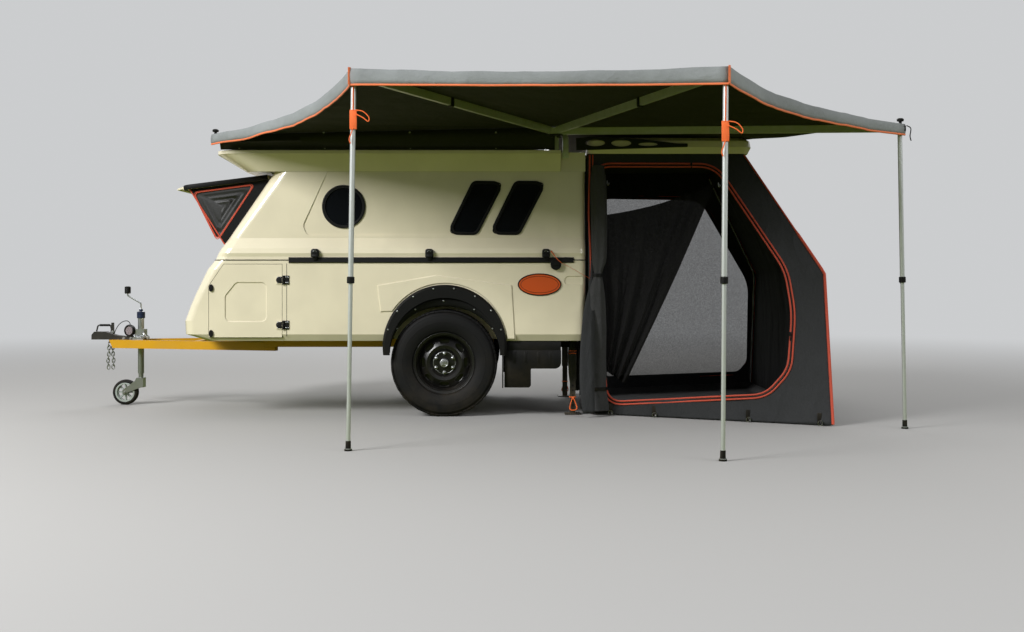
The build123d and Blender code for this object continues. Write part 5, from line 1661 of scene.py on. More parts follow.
        return Shape().surface(60, 45, spot).build("insect_curtain", CURTAIN, sharp=70.0)

    def window_net(self) -> Piece:
        """Net in the far wall's window."""
        shape = Shape()
        outline = rounded(self.window, 0.1)
        centre = middle(outline)
        rows = []
        for step in range(9):
            share = 0.02 + 0.98 * step / 8
            rows.append([self.on_wall(Side.RIGHT, *between(centre, (x, h), share),
                                      -0.001 + self.billow(x, h, 3.0) * share)
                         for x, h in outline])
        shape.grid(rows, loop_columns=True, uv=[[(p.x, p.z) for p in row] for row in rows])
        shape.fill(rows[0])
        return shape.build("window_net", WINDOW_NET, sharp=70.0)

    def groundsheet(self) -> Piece:
        """Vinyl floor, rumpled at its edges and turned up along the walls."""

        def spot(share: float, part: float) -> tuple[Spot, Flat]:
            """Point of the floor."""
            x, across = 3.885 + 1.575 * share, -1 + 2 * part
            edge = min(1 - abs(across), share * 1.1, (1 - share) * 1.1)
            lip = 0.05 * max(0.0, 1 - edge / 0.035)
            rumple = 0.5 + 0.5 * wander(95.0, x * 6, across * 5, 0)
            rumple += 0.4 * wander(97.0, x * 17, across * 13, 0)
            y = across * (self.half_at(x, 0.02) - 0.03)
            return (x, y, up(0.005 + lip + 0.01 * max(0.0, rumple))), (x, y)

        floor = Shape().surface(48, 60, spot).build("groundsheet", SOFT_PVC, sharp=60.0)
        return thicken(floor, 0.001)

    def ceiling(self) -> Piece:
        """Dark cloth across the room's top, under the lifted hatch."""
        front, half_front, rear, half_rear = self.section(self.ceiling_height)

        def spot(share: float, part: float) -> tuple[Spot, Flat]:
            """Point of the ceiling."""
            x, across = front + 0.01 + (rear - front - 0.02) * share, -1 + 2 * part
            sag = 0.016 * sin(pi * share) * (1 - across ** 2)
            sag += 0.003 * wander(99.0, x * 4, across * 4, 0) * (1 - across ** 2)
            y = across * (half_front + share * (half_rear - half_front) - 0.006)
            return (x, y, up(self.ceiling_height - sag)), (x, y)

        cloth = Shape().surface(30, 40, spot).build("room_ceiling", ROOM, sharp=60.0)
        return thicken(cloth, 0.001)

    def latch_tie(self) -> Piece:
        """Orange strap from the last seam latch to the room's front edge."""
        shape = Shape()
        line = smooth_line([(3.578, -0.938, up(1.205)), (3.64, -0.942, up(1.13)),
                            (3.72, -0.936, up(1.085)), (3.862, -0.905, up(1.005))], 6)
        shape.tube(line, [0.01 - 0.0075 * min(1.0, k / 8) for k in range(len(line))], 6, flat=0.5)
        return shape.build("latch_tie", ROPE)

    def frame(self) -> Piece:
        """Bent poles inside the rear corners."""
        shape = Shape()
        for side in Side:
            foot, knee, head = (mirrored(side, *spot) for spot in self.frame_route)
            line = [foot.lerp(knee, k / 10) for k in range(10)]
            near, far = foot.lerp(knee, 0.93), knee.lerp(head, 0.07)
            line = [p for p in line if p.z < near.z]
            line += [near * (1 - t) ** 2 + knee * 2 * t * (1 - t) + far * t ** 2
                     for t in (k / 6 for k in range(7))]
            line += [far.lerp(head, k / 10) for k in range(1, 11)]
            shape.tube(line, self.frame_radius, 12)
        return shape.build("room_frame", ALUMINIUM)

    def ties(self) -> Piece:
        """Webbing round the rolled door, toggles and loops along the hem."""
        shape = Shape()
        for height, half, out in ((self.pinch_height, 0.03, 0.036), (0.2, 0.074, 0.05)):
            ring = []
            for k in range(25):
                angle = tau * k / 24
                base = self.on_wall(Side.LEFT, self.roll_x, height, out)
                ring.append(Vector((3.915 + (half + 0.004) * 1.06 * cos(angle),
                                    base.y - (half + 0.004) * 0.68 * sin(angle), base.z)))
            rows = [[p + upward(w) for w in (-0.012, 0.012)] for p in ring]
            shape.grid(rows)
        for x in self.loops:
            spot = self.on_wall(Side.LEFT, x, 0.05, 0.006)
            shape.block(facing(spot, (0, -1, 0)), (0.03, 0.075, 0.004), 0.001)
        return shape.build("room_ties", BLACK_PLASTIC)

    def hooks(self) -> Piece:
        """Two bright hooks at the door's upper corners, inside its opening."""
        shape = Shape()
        for x, height in ((3.99, 1.69), (4.79, 1.672)):
            spot = self.on_wall(Side.LEFT, x, height, -0.01)
            line = trail(spot, (0, 0, 0.03), (0, 0, 0.006), (0.006, 0, -0.004),
                         (0.012, 0, 0.004), (0.012, 0, 0.014))
            shape.tube(smooth_line(line, 4), 0.0035, 8)
        return shape.build("curtain_hooks", ZINC)

    def pegs(self) -> Piece:
        """Bent steel pegs and rings that hold the hem."""
        shape = Shape()
        for side in Side:
            for x in self.loops:
                spot = self.on_wall(side, x, 0.02, 0.02)
                ring = [spot + Vector((0.016 * cos(a), side * 0.004, 0.016 * sin(a)))
                        for a in turns(14)]
                shape.tube(ring, 0.0025, 6, loop=True)
                out = Vector((0.0, side, 0.0))
                rod = [spot + out * 0.06 + upward(-0.012), spot + out * 0.034,
                       spot + out * 0.01 + upward(0.012), spot + Vector((0.006, 0, 0.004)),
                       spot + out * 0.004 + Vector((0.01, 0, -0.01))]
                shape.tube(smooth_line(rod, 4), 0.003, 8)
        return shape.build("room_pegs", ZINC)

    def build(self) -> None:
        """Builds the room and puts each piece of it on the trailer."""
        walls = self.walls()
        for piece, slot, *nodes in (
            (walls, "room_cloth", "annex"), (self.seams(), "room_cloth"),
            (self.zips(), "black_plastic"), (self.rolled_door(), "room_cloth"),
            (self.side_flaps(), "room_cloth"), (self.curtain(), "mesh_cloth"),
            (self.window_net(), "mesh_cloth", "annex_net"),
            (self.frame(), "pole_aluminium", "annex_poles"), (self.ties(), "black_plastic"),
            (self.pegs(), "zinc_steel"), (self.groundsheet(), "canopy_cloth"),
            (self.ceiling(), "room_cloth"), (self.latch_tie(), "room_cloth"),
            (self.hooks(), "zinc_steel"),
        ):
            settle(piece, "trailer", slot, *nodes)
            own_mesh(piece)


@dataclass
class Wheel:
    """Road wheel's tyre with its tread, and the nuts, cap and valve of its rim."""

    side: Side
    centre_x: float = 2.8
    centre_y: float = 0.76
    radius: float = 0.388
    nut_circle: float = 0.06985
    # Distance out from the middle, radius: the outer half of the tyre's section
    section: tuple[Flat, ...] = (
        (0.092, 0.2155), (0.094, 0.224), (0.104, 0.227), (0.1085, 0.232), (0.114, 0.234),
        (0.119, 0.244), (0.127, 0.266), (0.1315, 0.29), (0.1322, 0.3), (0.1333, 0.301),
        (0.1333, 0.304), (0.1322, 0.305), (0.1318, 0.318), (0.1298, 0.338), (0.127, 0.348),
        (0.1285, 0.349), (0.128, 0.352), (0.1235, 0.359), (0.1165, 0.369), (0.106, 0.3755),
        (0.08, 0.3782), (0.04, 0.3792),
    )

    @property
    def body(self) -> str:
        """The wheel's body in the frame."""
        return f"wheel_{self.side.word}"

    def place(self, angle: float = 0.0) -> Matrix:
        """The wheel's own frame, its Z axis outward, turned by an angle."""
        centre = (self.centre_x, self.side * self.centre_y, up(self.radius))
        return facing(centre, (0, self.side, 0)) @ Matrix.Rotation(angle, 4, "Z")

    def tyre(self) -> Piece:
        """Carcass with sidewall rings, and staggered tread blocks."""
        shape = Shape()
        profile = [(radius, out) for out, radius in self.section]
        profile += [(radius, -out) for out, radius in self.section[::-1]]
        shape.revolve(profile, self.place(), steps=120)
        shape.revolve([(0.2155, -0.092), (0.2155, 0.092)], self.place(), steps=120)
        # Distance out, width, length along the tread, skew of each row of blocks
        rows = ((0.0, 0.03, 0.026, 0.004), (0.04, 0.034, 0.027, -0.005),
                (0.0805, 0.034, 0.027, 0.005), (0.1085, 0.02, 0.03, 0.0))
        pitches = 68
        for across, wide, long, skew in rows:
            for sign in ((1,) if across == 0 else (1, -1)):
                for k in range(pitches):
                    shift = 0.5 if across in (0.04, 0.1085) else 0.0
                    shift += 0.25 if sign < 0 else 0.0
                    turn = self.place(tau * (k + shift) / pitches)
                    self.tread_block(shape, turn, sign * across, wide,
                                     long * (1.0 + 0.1 * sin(k * 2.4)), skew, k)
        return shape.build(f"tyre_{self.side.word}_tread", TYRE_RUBBER, sharp=32.0)

    def tread_block(self, shape: Shape, turn: Matrix, across: float, wide: float, long: float,
                    skew: float, index: int) -> None:
        """Adds one block of the tread.

        Args:
            shape: the shape it joins.
            turn: the wheel's frame turned to the block.
            across: distance from the tyre's middle.
            wide: width of the block across the tread.
            long: length of the block along the tread.
            skew: how far its ends slant.
            index: the block's number in its row.
        """
        shoulder = abs(across) > 0.1
        drop = 0.0055 if shoulder else 0.0
        crown = self.radius - 0.0065 - drop
        if shoulder and index % 2:
            wide *= 1.25
        lean = copysign(radians(24 if shoulder else 0), across)
        place = (turn @ moved(crown, 0, across) @ Matrix.Rotation(pi / 2, 4, "Y")
                 @ Matrix.Rotation(lean, 4, "Y"))
        x, y = wide / 2, long / 2
        outline = ((-x, -y + skew), (0.0, -y + skew * 0.2), (x, -y - skew),
                   (x, y - skew), (0.0, y - skew * 0.2), (-x, y + skew))
        shape.prism(outline, place, 0.013, 0.0012, 1)

    def nuts(self) -> Piece:
        """Six chamfered wheel nuts; bright arcs between them paint the pressed ring's highlight."""
        shape = Shape()
        for k in range(6):
            spot = (self.place(tau * k / 6 + pi / 2) @ moved(self.nut_circle, 0, 0.04))
            shape.prism(ngon(0.0112, 6), spot @ moved(0, 0, 0.01), 0.02, 0.0018, 2)
            shape.revolve([(0.0135, 0.0), (0.0128, 0.004), (0.0, 0.004)], spot, 24)
            shape.revolve([(0.0085, 0.0195), (0.0078, 0.0235), (0.0045, 0.0262), (0.0, 0.0268)],
                          spot, 20)
        # Thin zinc arcs along the pressed ring: a painted highlight
        arcs = [0.12 + 0.8 * j / 12 for j in range(13)]
        for k in range(6):
            line = [self.place(tau * (k + share) / 6 + pi / 2)
                    @ Vector((0.08, 0, 0.0405)) for share in arcs]
            shape.tube(line, 0.0018, 6)
        return shape.build(f"wheel_nuts_{self.side.word}", ZINC)

    def cap(self) -> Piece:
        """Turned hub cap with its stepped face."""
        profile = [(0.0325, 0.05), (0.0328, 0.0745), (0.0318, 0.082), (0.03, 0.085),
                   (0.0265, 0.0862), (0.0245, 0.085), (0.013, 0.0868), (0.0115, 0.0858),
                   (0.0, 0.0862)]
        return Shape().revolve(profile, self.place(), 48).build(f"hub_cap_{self.side.word}", ZINC)

    def rim_trim(self) -> Piece:
        """Rolled rim lip, slot lips and the valve."""
        shape = Shape()
        lip = [self.place(tau * k / 96) @ Vector((0.2215, 0, 0.1)) for k in range(96)]
        shape.tube(lip, 0.0042, 8, loop=True)
        ring = [self.place(tau * k / 96) @ Vector((0.2, 0, 0.086)) for k in range(96)]
        shape.tube(ring, 0.0022, 6, loop=True)
        for k in range(8):
            turned = self.place(tau * k / 8)
            slot = []
            for j in range(28):
                angle = tau * j / 28
                y = 0.021 * copysign(min(1.0, abs(sin(angle)) * 1.02), sin(angle))
                y += copysign(0.018, sin(angle)) if abs(sin(angle)) > 0.05 else 0
                x = 0.156 + 0.0175 * cos(angle)
                slot.append(turned @ Vector((x, y, self.disc_face(x) + 0.0006)))
            shape.tube(slot, 0.0024, 6, loop=True)
        valve = self.place(radians(-4)) @ moved(0.186, 0, 0.052)
        shape.revolve([(0.0075, 0.0), (0.006, 0.008), (0.0042, 0.014), (0.0042, 0.03),
                       (0.003, 0.033), (0.0, 0.0335)], valve, 14)
        return shape.build(f"rim_trim_{self.side.word}", WHEEL_PAINT)

    def drum(self) -> Piece:
        """Brake drum behind the rim's slots."""
        shape = Shape()
        shape.revolve([(0.0, 0.016), (0.168, 0.016), (0.176, 0.01), (0.178, -0.04),
                       (0.174, -0.044), (0.12, -0.05), (0.0, -0.05)], self.place(), 64)
        return shape.build(f"brake_drum_{self.side.word}", WHEEL_PAINT)

    @staticmethod
    def disc_face(radius: float) -> float:
        """How far out the rim's disc stands at a radius."""
        share = min(1.0, max(0.0, (radius - 0.128) / (0.196 - 0.128)))
        return 0.062 + (0.03 - 0.062) * share

    def build(self) -> None:
        """Builds the wheel's pieces."""
        settle(self.tyre(), self.body, "tyre_rubber", f"tyre_{self.side.word}")
        settle(self.nuts(), self.body, "zinc_steel")
        settle(self.cap(), self.body, "zinc_steel")
        settle(self.rim_trim(), self.body, "black_steel")
        settle(self.drum(), self.body, "black_steel")


@dataclass
class FrontHatch:
    """Cloth gussets with their nets and piping, and the trim of the propped front bed hatch."""

    rake_high: Flat = (1.537, 1.776)
    rake_low: Flat = (1.164, 1.221)
    closing: float = radians(49.0)
    hinge_drop: float = 0.03
    hinge_lift: float = 0.02
    thickness: float = 0.032
    length: float = 0.645
    half_width: float = 0.69
    gusset_half_width: float = 0.6565
    # Corners of the net in a gusset, as X and height
    net: tuple[Flat, ...] = ((0.926, 1.643), (1.372, 1.702), (1.102, 1.292))
    net_corner: float = 0.045
    gap: float = 0.0006

    def __post_init__(self) -> None:
        """Works out the hinge and the directions of the rake and of the open hatch."""
        (high_x, high), (low_x, low) = self.rake_high, self.rake_low
        run = Vector((high_x - low_x, 0, high - low))
        self.down = -run.normalized()
        self.normal = Vector((-run.z, 0, run.x)).normalized()
        self.top = Vector((self.rake_high[0], 0, up(self.rake_high[1])))
        self.hinge = self.top + self.down * self.hinge_drop + self.normal * self.hinge_lift
        turn = Matrix.Rotation(self.closing, 3, "Y")
        self.open_down = turn @ self.down
        self.open_normal = turn @ self.normal

    def on_hatch(self, reach: float, lift: float, y: float) -> Vector:
        """Point at a reach from the hinge along the hatch and a lift above its middle."""
        point = self.hinge + self.open_down * reach + self.open_normal * lift
        return Vector((point.x, y, point.z))

    def outline(self) -> list[Flat]:
        """Outline of a gusset as X and height."""
        under = -self.thickness / 2 - self.gap
        corners = (self.on_hatch(0.03, under, 0), self.on_hatch(0.612, under, 0),
                   self.top + self.down * 0.65 + self.normal * self.gap,
                   self.top + self.down * 0.06 + self.normal * self.gap)
        return [(corner.x, corner.z - GROUND) for corner in corners]

    def at(self, side: Side, x: float, height: float, seed: float, depth: float) -> Vector:
        """Point of a gusset's cloth, slack by depth."""
        wave = wander(seed, x * 4, height * 4, seed)
        return mirrored(side, x, self.gusset_half_width + depth * wave, height)

    def gussets(self) -> Piece:
        """Both gussets round their nets."""
        shape = Shape()
        for side in Side:
            inner = rounded(self.net, self.net_corner)
            rows = opening_rows(self.outline(), inner, 6)
            shape.grid([[self.at(side, x, h, 61.0, 0.004 * min(step, 6 - step) / 3)
                         for x, h in row] for step, row in enumerate(rows)],
                       loop_columns=True, uv=rows)
        return thicken(shape.build("gusset_cloth", GUSSET, sharp=60.0), 0.003)

    def nets(self) -> Piece:
        """Nets in the gussets, pulled into slanting folds."""
        shape = Shape()
        inner = rounded(self.net, self.net_corner)
        centre = middle(inner)
        for side in Side:
            rows, places = [], []
            for step in range(25):
                share = 0.01 + 0.99 * step / 24
                row = []
                for corner in inner:
                    x, h = between(centre, corner, share)
                    across = x * 0.42 + h * 0.91
                    fold = sin(across * 95 + 2.4 * wander(64.0, x * 5, h * 5, 0))
                    fold *= max(0.0, wander(66.0, across * 7, x * 3, 0) + 0.35)
                    row.append((x, h, 0.01 * fold * (1 - share ** 4)))
                rows.append([mirrored(side, x, self.gusset_half_width - 0.004 + bulge, h)
                             for x, h, bulge in row])
                places.append([(x, h) for x, h, _ in row])
            shape.grid(rows, loop_columns=True, uv=places)
            shape.fill(rows[0])
        return shape.build("gusset_net", GUSSET_NET, sharp=70.0)

    def piping(self) -> Piece:
        """Orange piping round the nets and down the gussets' free edges."""
        shape = Shape()
        corners = self.outline()
        for side in Side:
            for reach in (1.0, 1.045):
                grown = [between(middle(self.net), corner, reach) for corner in self.net]
                line = [mirrored(side, x, self.gusset_half_width + 0.003, h)
                        for x, h in rounded(grown, self.net_corner, 8)]
                shape.tube(line, 0.0042 if reach == 1.0 else 0.003, 8, loop=True)
            (x0, h0), (x1, h1) = corners[1], corners[2]
            y = side * (self.gusset_half_width + 0.001)
            edge = [Vector((x0 + (x1 - x0) * k / 20 - 0.004, y, up(h0 + (h1 - h0) * k / 20)))
                    for k in range(21)]
            shape.tube(edge, 0.0052, 8)
        return shape.build("gusset_piping", SHADED_PIPING)

    def edge_trim(self) -> Piece:
        """Rubber trim pressed over the hatch panel's edges."""
        shape = Shape()
        half, start, end, corner = self.half_width, 0.02, 0.657, 0.068
        line = [(start, -half), (end - corner, -half)]
        line += [(end - corner + corner * sin(a), -half + corner - corner * cos(a))
                 for a in (pi / 2 * k / 8 for k in range(1, 9))]
        line += [(reach, -y) for reach, y in line[::-1]]
        section = ((0.004, 0.0155), (-0.006, 0.0165), (-0.009, 0.01), (-0.009, -0.01),
                   (-0.006, -0.0175), (0.01, -0.0175))
        rows = []
        for k, (reach, y) in enumerate(line):
            before, after = line[max(k - 1, 0)], line[min(k + 1, len(line) - 1)]
            tangent = Vector((after[0] - before[0], after[1] - before[1])).normalized()
            inward = Vector((-tangent.y, tangent.x))
            rows.append([self.on_hatch(reach + inward.x * inset, lift, y + inward.y * inset)
                         for inset, lift in section])
        shape.grid(rows)
        return thicken(shape.build("hatch_edge_trim", SOFT_RUBBER, sharp=40.0), 0.0016, 1.0)

    def lip(self) -> Piece:
        """Fibreglass lip along the hatch's free edge, turned down a little."""
        shape = Shape()
        rows = []
        for reach, top, bottom in ((0.652, 0.0105, -0.0105), (0.68, 0.0095, -0.0075),
                                   (0.708, 0.0045, -0.006), (0.722, -0.003, -0.0075)):
            cut = 0.02 * ((reach - 0.652) / 0.07) ** 2
            ys = [(-1 + k / 15) * (self.half_width - 0.062 - cut) for k in range(31)]
            rows.append([self.on_hatch(reach, top, y) for y in ys]
                        + [self.on_hatch(reach, bottom, y) for y in ys[::-1]])
        shape.grid(rows, loop_columns=True)
        shape.fill(rows[-1])
        return shape.build("hatch_lip", GEL_COAT)

    def liner(self) -> Piece:
        """Padded lining under the hatch, thinner round its rim."""

        def spot(down: float, across: float) -> tuple[Vector, Flat]:
            """Point of the lining."""
            reach, y = 0.06 + 0.54 * down, -0.6 + 1.2 * across
            rim = min(18 * down, 18 - 18 * down, 30 * across, 30 - 30 * across)
            quilt = 0.75 + 0.25 * sin(reach * 40) * sin(y * 22)
            puff = 0.01 * min(1.0, rim / 3) * quilt
            return self.on_hatch(reach, -self.thickness / 2 - 0.001 - puff, y), (y, 1.08 * down)

        lining = Shape().surface(18, 30, spot).build("hatch_lining", BED_CLOTH, sharp=60.0)
        return thicken(lining, 0.001, 1.0)

    def build(self) -> None:
        """Builds the hatch's soft and rubber pieces."""
        for piece, slot, *nodes in ((self.gussets(), "room_cloth", "front_gussets"),
                                    (self.nets(), "mesh_cloth"), (self.piping(), "room_cloth")):
            settle(piece, "trailer", slot, *nodes)
            tuple(self.normal)
            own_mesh(piece)
        settle(self.edge_trim(), "front_hatch", "soft_rubber")
        settle(self.lip(), "front_hatch", "shell_cream")
        settle(self.liner(), "front_hatch", "bed_cloth")


@dataclass
class Fittings:
    """Small parts that are bolted, riveted or glued to the shells."""

    arch: Flat = (2.808, 0.466)
    flare: Flat = (2.808, 0.511)
    flare_depth: float = 0.0343
    rivet_angles: tuple[float, ...] = (17, 38, 59, 81, 101, 122, 143, 163)
    skirt_rivets: tuple[float, ...] = (28, 57, 91, 123, 152)
    plate: Flat = (3.496, 0.962)
    latch_x: tuple[float, ...] = (1.869, 2.697, 3.543)
    hinge_heights: Flat = (0.668, 0.995)
    rail_height: float = 0.5195
    leg: Flat = (3.746, 0.7)
    # X, distance from the middle and height
    leg_loop: tuple[Spot, ...] = ((3.746, 0.7245, 0.128), (3.722, 0.745, 0.05),
                                  (3.746, 0.752, 0.034), (3.776, 0.745, 0.05),
                                  (3.75, 0.7245, 0.126))
    seam: float = 1.14
    catch_rise: float = 0.022

    def on_side(self, side: Side, x: float, height: float, out: float = 0.0) -> Matrix:
        """Frame on the body's side, its Z axis outward."""
        return facing(mirrored(side, x, BODY_SIDE + out, height), (0, side, 0), (-side, 0, 0))

    def skirts(self) -> Piece:
        """Black inner skirts under the flares, deepest over the tyres; partly painted arch shade.
        """
        shape = Shape()
        # Share of the way in, distance out from the body's side
        profile = ((0.0, 0.006), (0.35, 0.004), (0.8, -0.004), (0.97, -0.012), (1.0, -0.02))
        for side in Side:
            rows = []
            for k in range(61):
                angle = pi * k / 60
                outer = Vector((cos(angle) * 0.4015, sin(angle) * 0.4015))
                # Inner edge drops close to the tyre's top: the black there is painted shade in the
                # arch
                inner = Vector((cos(angle) * 0.4, sin(angle) * 0.338))
                spots = [(outer.lerp(inner, step), out) for step, out in profile]
                rows.append([mirrored(side, self.arch[0] + spot.x, BODY_SIDE + out,
                                      self.arch[1] + spot.y) for spot, out in spots])
            shape.grid(rows)
        return thicken(shape.build("arch_skirts_and_shade", SOFT_RUBBER, sharp=50.0), 0.003)

    def rivets(self) -> Piece:
        """Domed rivets round the flares and their skirts."""
        shape = Shape()
        dome = ((0.0062, 0.0), (0.006, 0.0016), (0.0048, 0.0032), (0.0026, 0.0042), (0.0, 0.0045))
        for side in Side:
            for (x, height), half_x, half_z, out, angles in (
                    (self.flare, 0.4275, 0.4275, self.flare_depth, self.rivet_angles),
                    (self.arch, 0.393, 0.376, 0.0068, self.skirt_rivets)):
                for angle in map(radians, angles):
                    place = self.on_side(side, x + half_x * cos(angle),
                                         height + half_z * sin(angle), out)
                    shape.revolve(dome, place, 16)
        return shape.build("flare_rivets", ZINC)

    def plate_borders(self) -> Piece:
        """Raised rims round the plain oval plates."""
        shape = Shape()
        for side in Side:
            for half_x, half_z, radius in ((0.1545, 0.0775, 0.0042), (0.136, 0.06, 0.0016)):
                ring = [self.on_side(side, self.plate[0] + half_x * cos(a),
                                     self.plate[1] + half_z * sin(a), 0.0053).translation
                        for a in turns(72)]
                shape.tube(ring, radius, 8, loop=True)
        return shape.build("plate_rims", BLACK_PLASTIC)

    def door_trim(self, side: Side) -> Piece:
        """Oval faces of a locker door's latches with their key slots."""
        shape = Shape()
        half_x, half_z = 0.0155, 0.0265
        for height in (0.606, 0.937):
            place = self.on_side(side, 1.112, height, 0.0)
            shape.grid([[place @ Vector((half_x * grow * cos(a),
                                         half_z * grow * sin(a), out)) for a in turns(36)]
                        for grow, out in ((1.0, 0.0005), (1.0, 0.01), (0.93, 0.0125),
                                          (0.6, 0.013), (0.54, 0.0118), (0.05, 0.0118))],
                       loop_columns=True)
            shape.block(place @ moved(0, 0, 0.0122), (0.0016, 0.009, 0.0012), 0.0003)
        return shape.build(f"door_latches_{side.word}", BLACK_PLASTIC)

    def hinge_covers(self, side: Side) -> Piece:
        """Rubber caps over a locker door's hinge leaves, with a sleeve round each knuckle."""
        shape = Shape()
        outline = [(0.0, -0.0235), (0.0, 0.0), (0.0, 0.0235)]
        outline += [(-0.016 - 0.0285 * sin(a), 0.0235 * cos(a))
                    for a in (pi * k / 24 for k in range(25))]
        for height in self.hinge_heights:
            place = self.on_side(side, 1.6285, height)
            shape.grid([[place @ Vector((-side * (-0.018 + (x + 0.018) * grow),
                                         -side * y * grow, out)) for x, y in outline]
                        for grow, out in ((1.0, 0.0005), (1.0, 0.0085), (0.92, 0.01),
                                          (0.5, 0.0108), (0.02, 0.011))], loop_columns=True)
            knuckle = Vector((1.637, side * (BODY_SIDE + 0.01), 0))
            shape.tube([knuckle + upward(up(height + rise)) for rise in (-0.0148, 0.0148)],
                       0.0088, 24)
        return shape.build(f"hinge_covers_{side.word}", SOFT_RUBBER, sharp=50.0)

    def seam_gasket(self) -> Piece:
        """Dark gasket in the seam between the tub and the shell, round the nose."""
        shape = Shape()
        half, front, corner, out = BODY_SIDE, 1.121, 0.1, 0.0012
        line = [Vector((x, -half - out, up(self.seam))) for x in (1.674, 1.5, 1.35)]
        line += [Vector((front + corner - (corner + out) * sin(a),
                         -half + corner - (corner + out) * cos(a), up(self.seam)))
                 for a in quarter(10)]
        line += [Vector((p.x, -p.y, p.z)) for p in line[::-1]]
        shape.tube(line, 0.0034, 8)
        for side in Side:
            shape.tube([mirrored(side, x, half + out, self.seam)
                        for x in (3.746, 3.79, 3.829)], 0.0034, 8)
            shape.tube([mirrored(side, 1.66, half + 0.0002, 0.585 + 0.053 * k)
                        for k in range(11)], 0.0018, 6)
        return shape.build("seam_gasket", SOFT_RUBBER)

    def rail_ends(self) -> Piece:
        """Black covers over the rails behind the tank."""
        shape = Shape()
        for side in Side:
            shape.block(moved(3.7265, side * 0.48, up(self.rail_height)),
                        (0.134, 0.0535, 0.0675), 0.003)
            shape.block(moved(3.746, side * 0.64, up(self.rail_height)),
                        (0.0535, 0.262, 0.059), 0.003)
        return shape.build("rail_covers", BLACK_PLASTIC)

    def door_seal(self, side: Side) -> Piece:
        """Rubber bulb seal that fills the gap round a locker door."""
        outline = ((1.095, 0.579), (1.626, 0.579), (1.626, 1.109), (1.2015, 1.109), (1.095, 0.9505))
        line = []
        for (x0, h0), (x1, h1) in zip(outline, outline[1:] + outline[:1]):
            line += [self.on_side(side, x0 + (x1 - x0) * k / 12, h0 + (h1 - h0) * k / 12,
                                  -0.006).translation for k in range(12)]
        return Shape().tube(line, 0.0022, 6, loop=True).build(f"door_seal_{side.word}", SOFT_RUBBER)

    def hinge_bolts(self, side: Side, xs: Sequence[float], name: str) -> Piece:
        """Button-head bolts with their sockets at a locker door's hinges."""
        shape = Shape()
        head = ((0.0058, 0.0), (0.0056, 0.0014), (0.004, 0.003), (0.0022, 0.0034),
                (0.002, 0.0018), (0.0, 0.0018))
        for height in self.hinge_heights:
            for x in xs:
                for rise in (-0.02, 0.02):
                    place = self.on_side(side, x, height + rise, 0.0063)
                    shape.revolve(head, place, 14)
        return shape.build(f"{name}_{side.word}", ZINC)

    def seam_catches(self) -> Piece:
        """Over-centre catches above the seam: an arched body, its loop and the hook below it."""
        shape = Shape()
        arch = [(0.031, 0.0), (0.031, 0.03)]
        arch += [(0.013 + 0.018 * cos(a), 0.041 + 0.018 * sin(a)) for a in quarter(6)]
        outline = arch + [(-x, y) for x, y in arch[::-1]]
        for side in Side:
            for x in self.latch_x:
                place = self.on_side(side, x, self.seam + self.catch_rise, 0.0205)
                shape.prism([(px * 0.94, py) for px, py in outline], place, 0.025, 0.004)
                shape.block(place @ moved(0, 0.006, 0.0135), (0.046, 0.02, 0.009), 0.003)
                ring = [place @ Vector((0.0155 * cos(a), 0.038 + 0.0105 * sin(a), 0.0125))
                        for a in turns(24)]
                shape.tube(ring, 0.0032, 8, loop=True)
                hook = self.on_side(side, x, self.seam + 0.012, 0.019)
                shape.block(hook, (0.03, 0.024, 0.012), 0.003)
        return shape.build("seam_catches", BLACK_PLASTIC)

    def catch_bails(self) -> Piece:
        """Bright wire bails that show in the catches' arches."""
        shape = Shape()
        for side in Side:
            for x in self.latch_x:
                place = self.on_side(side, x, self.seam + self.catch_rise, 0.0335)
                bar = [place @ Vector((0.012 * cos(a), 0.038 + 0.007 * sin(a), 0.0))
                       for a in (pi * k / 12 for k in range(13))]
                shape.tube(bar, 0.0022, 8)
        return shape.build("catch_bails", ZINC)

    def filler_cap(self) -> Piece:
        """Ribbed round cap below the last seam latch."""
        shape = Shape()
        for side in Side:
            place = self.on_side(side, 3.614, self.seam - 0.033, 0.0341)
            shape.revolve([(0.025, -0.0335), (0.025, -0.018), (0.0382, -0.018), (0.039, -0.014),
                           (0.0384, 0.0), (0.035, 0.003), (0.033, 0.0012), (0.0, 0.0014)],
                          place, 40)
            for k in range(20):
                spot = place @ Matrix.Rotation(tau * k / 20, 4, "Z")
                shape.block(spot @ moved(0.0386, 0, -0.008), (0.003, 0.005, 0.014), 0.0008)
            shape.block(place @ moved(0, 0, 0.004), (0.048, 0.01, 0.008), 0.002)
        return shape.build("filler_caps", BLACK_PLASTIC)

    def tank_shell(self) -> Piece:
        """Moulded water tank: deeper behind the wheels and raised outside the rails."""
        shape = Shape()
        front, step, rear, half = 3.24, 3.434, 3.655, 0.862
        low = [(front, 0.21), (step - 0.014, 0.21), (step, 0.224), (step, 0.348)]
        low += [(rear - 0.045 + 0.045 * sin(a), 0.393 - 0.045 * cos(a)) for a in quarter(6)]
        place = facing((0, 0, GROUND), (0, -1, 0))
        shape.prism(low + [(rear, 0.4835), (front, 0.4835)], place, 2 * half, 0.005, 2)
        for side in Side:
            shape.block(moved((front + rear) / 2, side * 0.688, up(0.5065)),
                        (rear - front - 0.004, 0.344, 0.09), 0.004)
        for side in Side:
            for x in (3.315, 3.395, 3.49, 3.575):
                rib = flank(side, x, half, 0.43)
                shape.block(rib, (0.022, 0.086, 0.005), 0.0025)
        return shape.build("tank_shell", BLACK_PLASTIC)

    def rail_liner(self) -> Piece:
        """Black liners over the rails behind the wheels."""
        shape = Shape()
        for side in Side:
            shape.block(moved(3.2, side * 0.5095, up(self.rail_height)),
                        (0.075, 0.006, 0.07), 0.002)
        return shape.build("rail_liners", BLACK_PLASTIC)

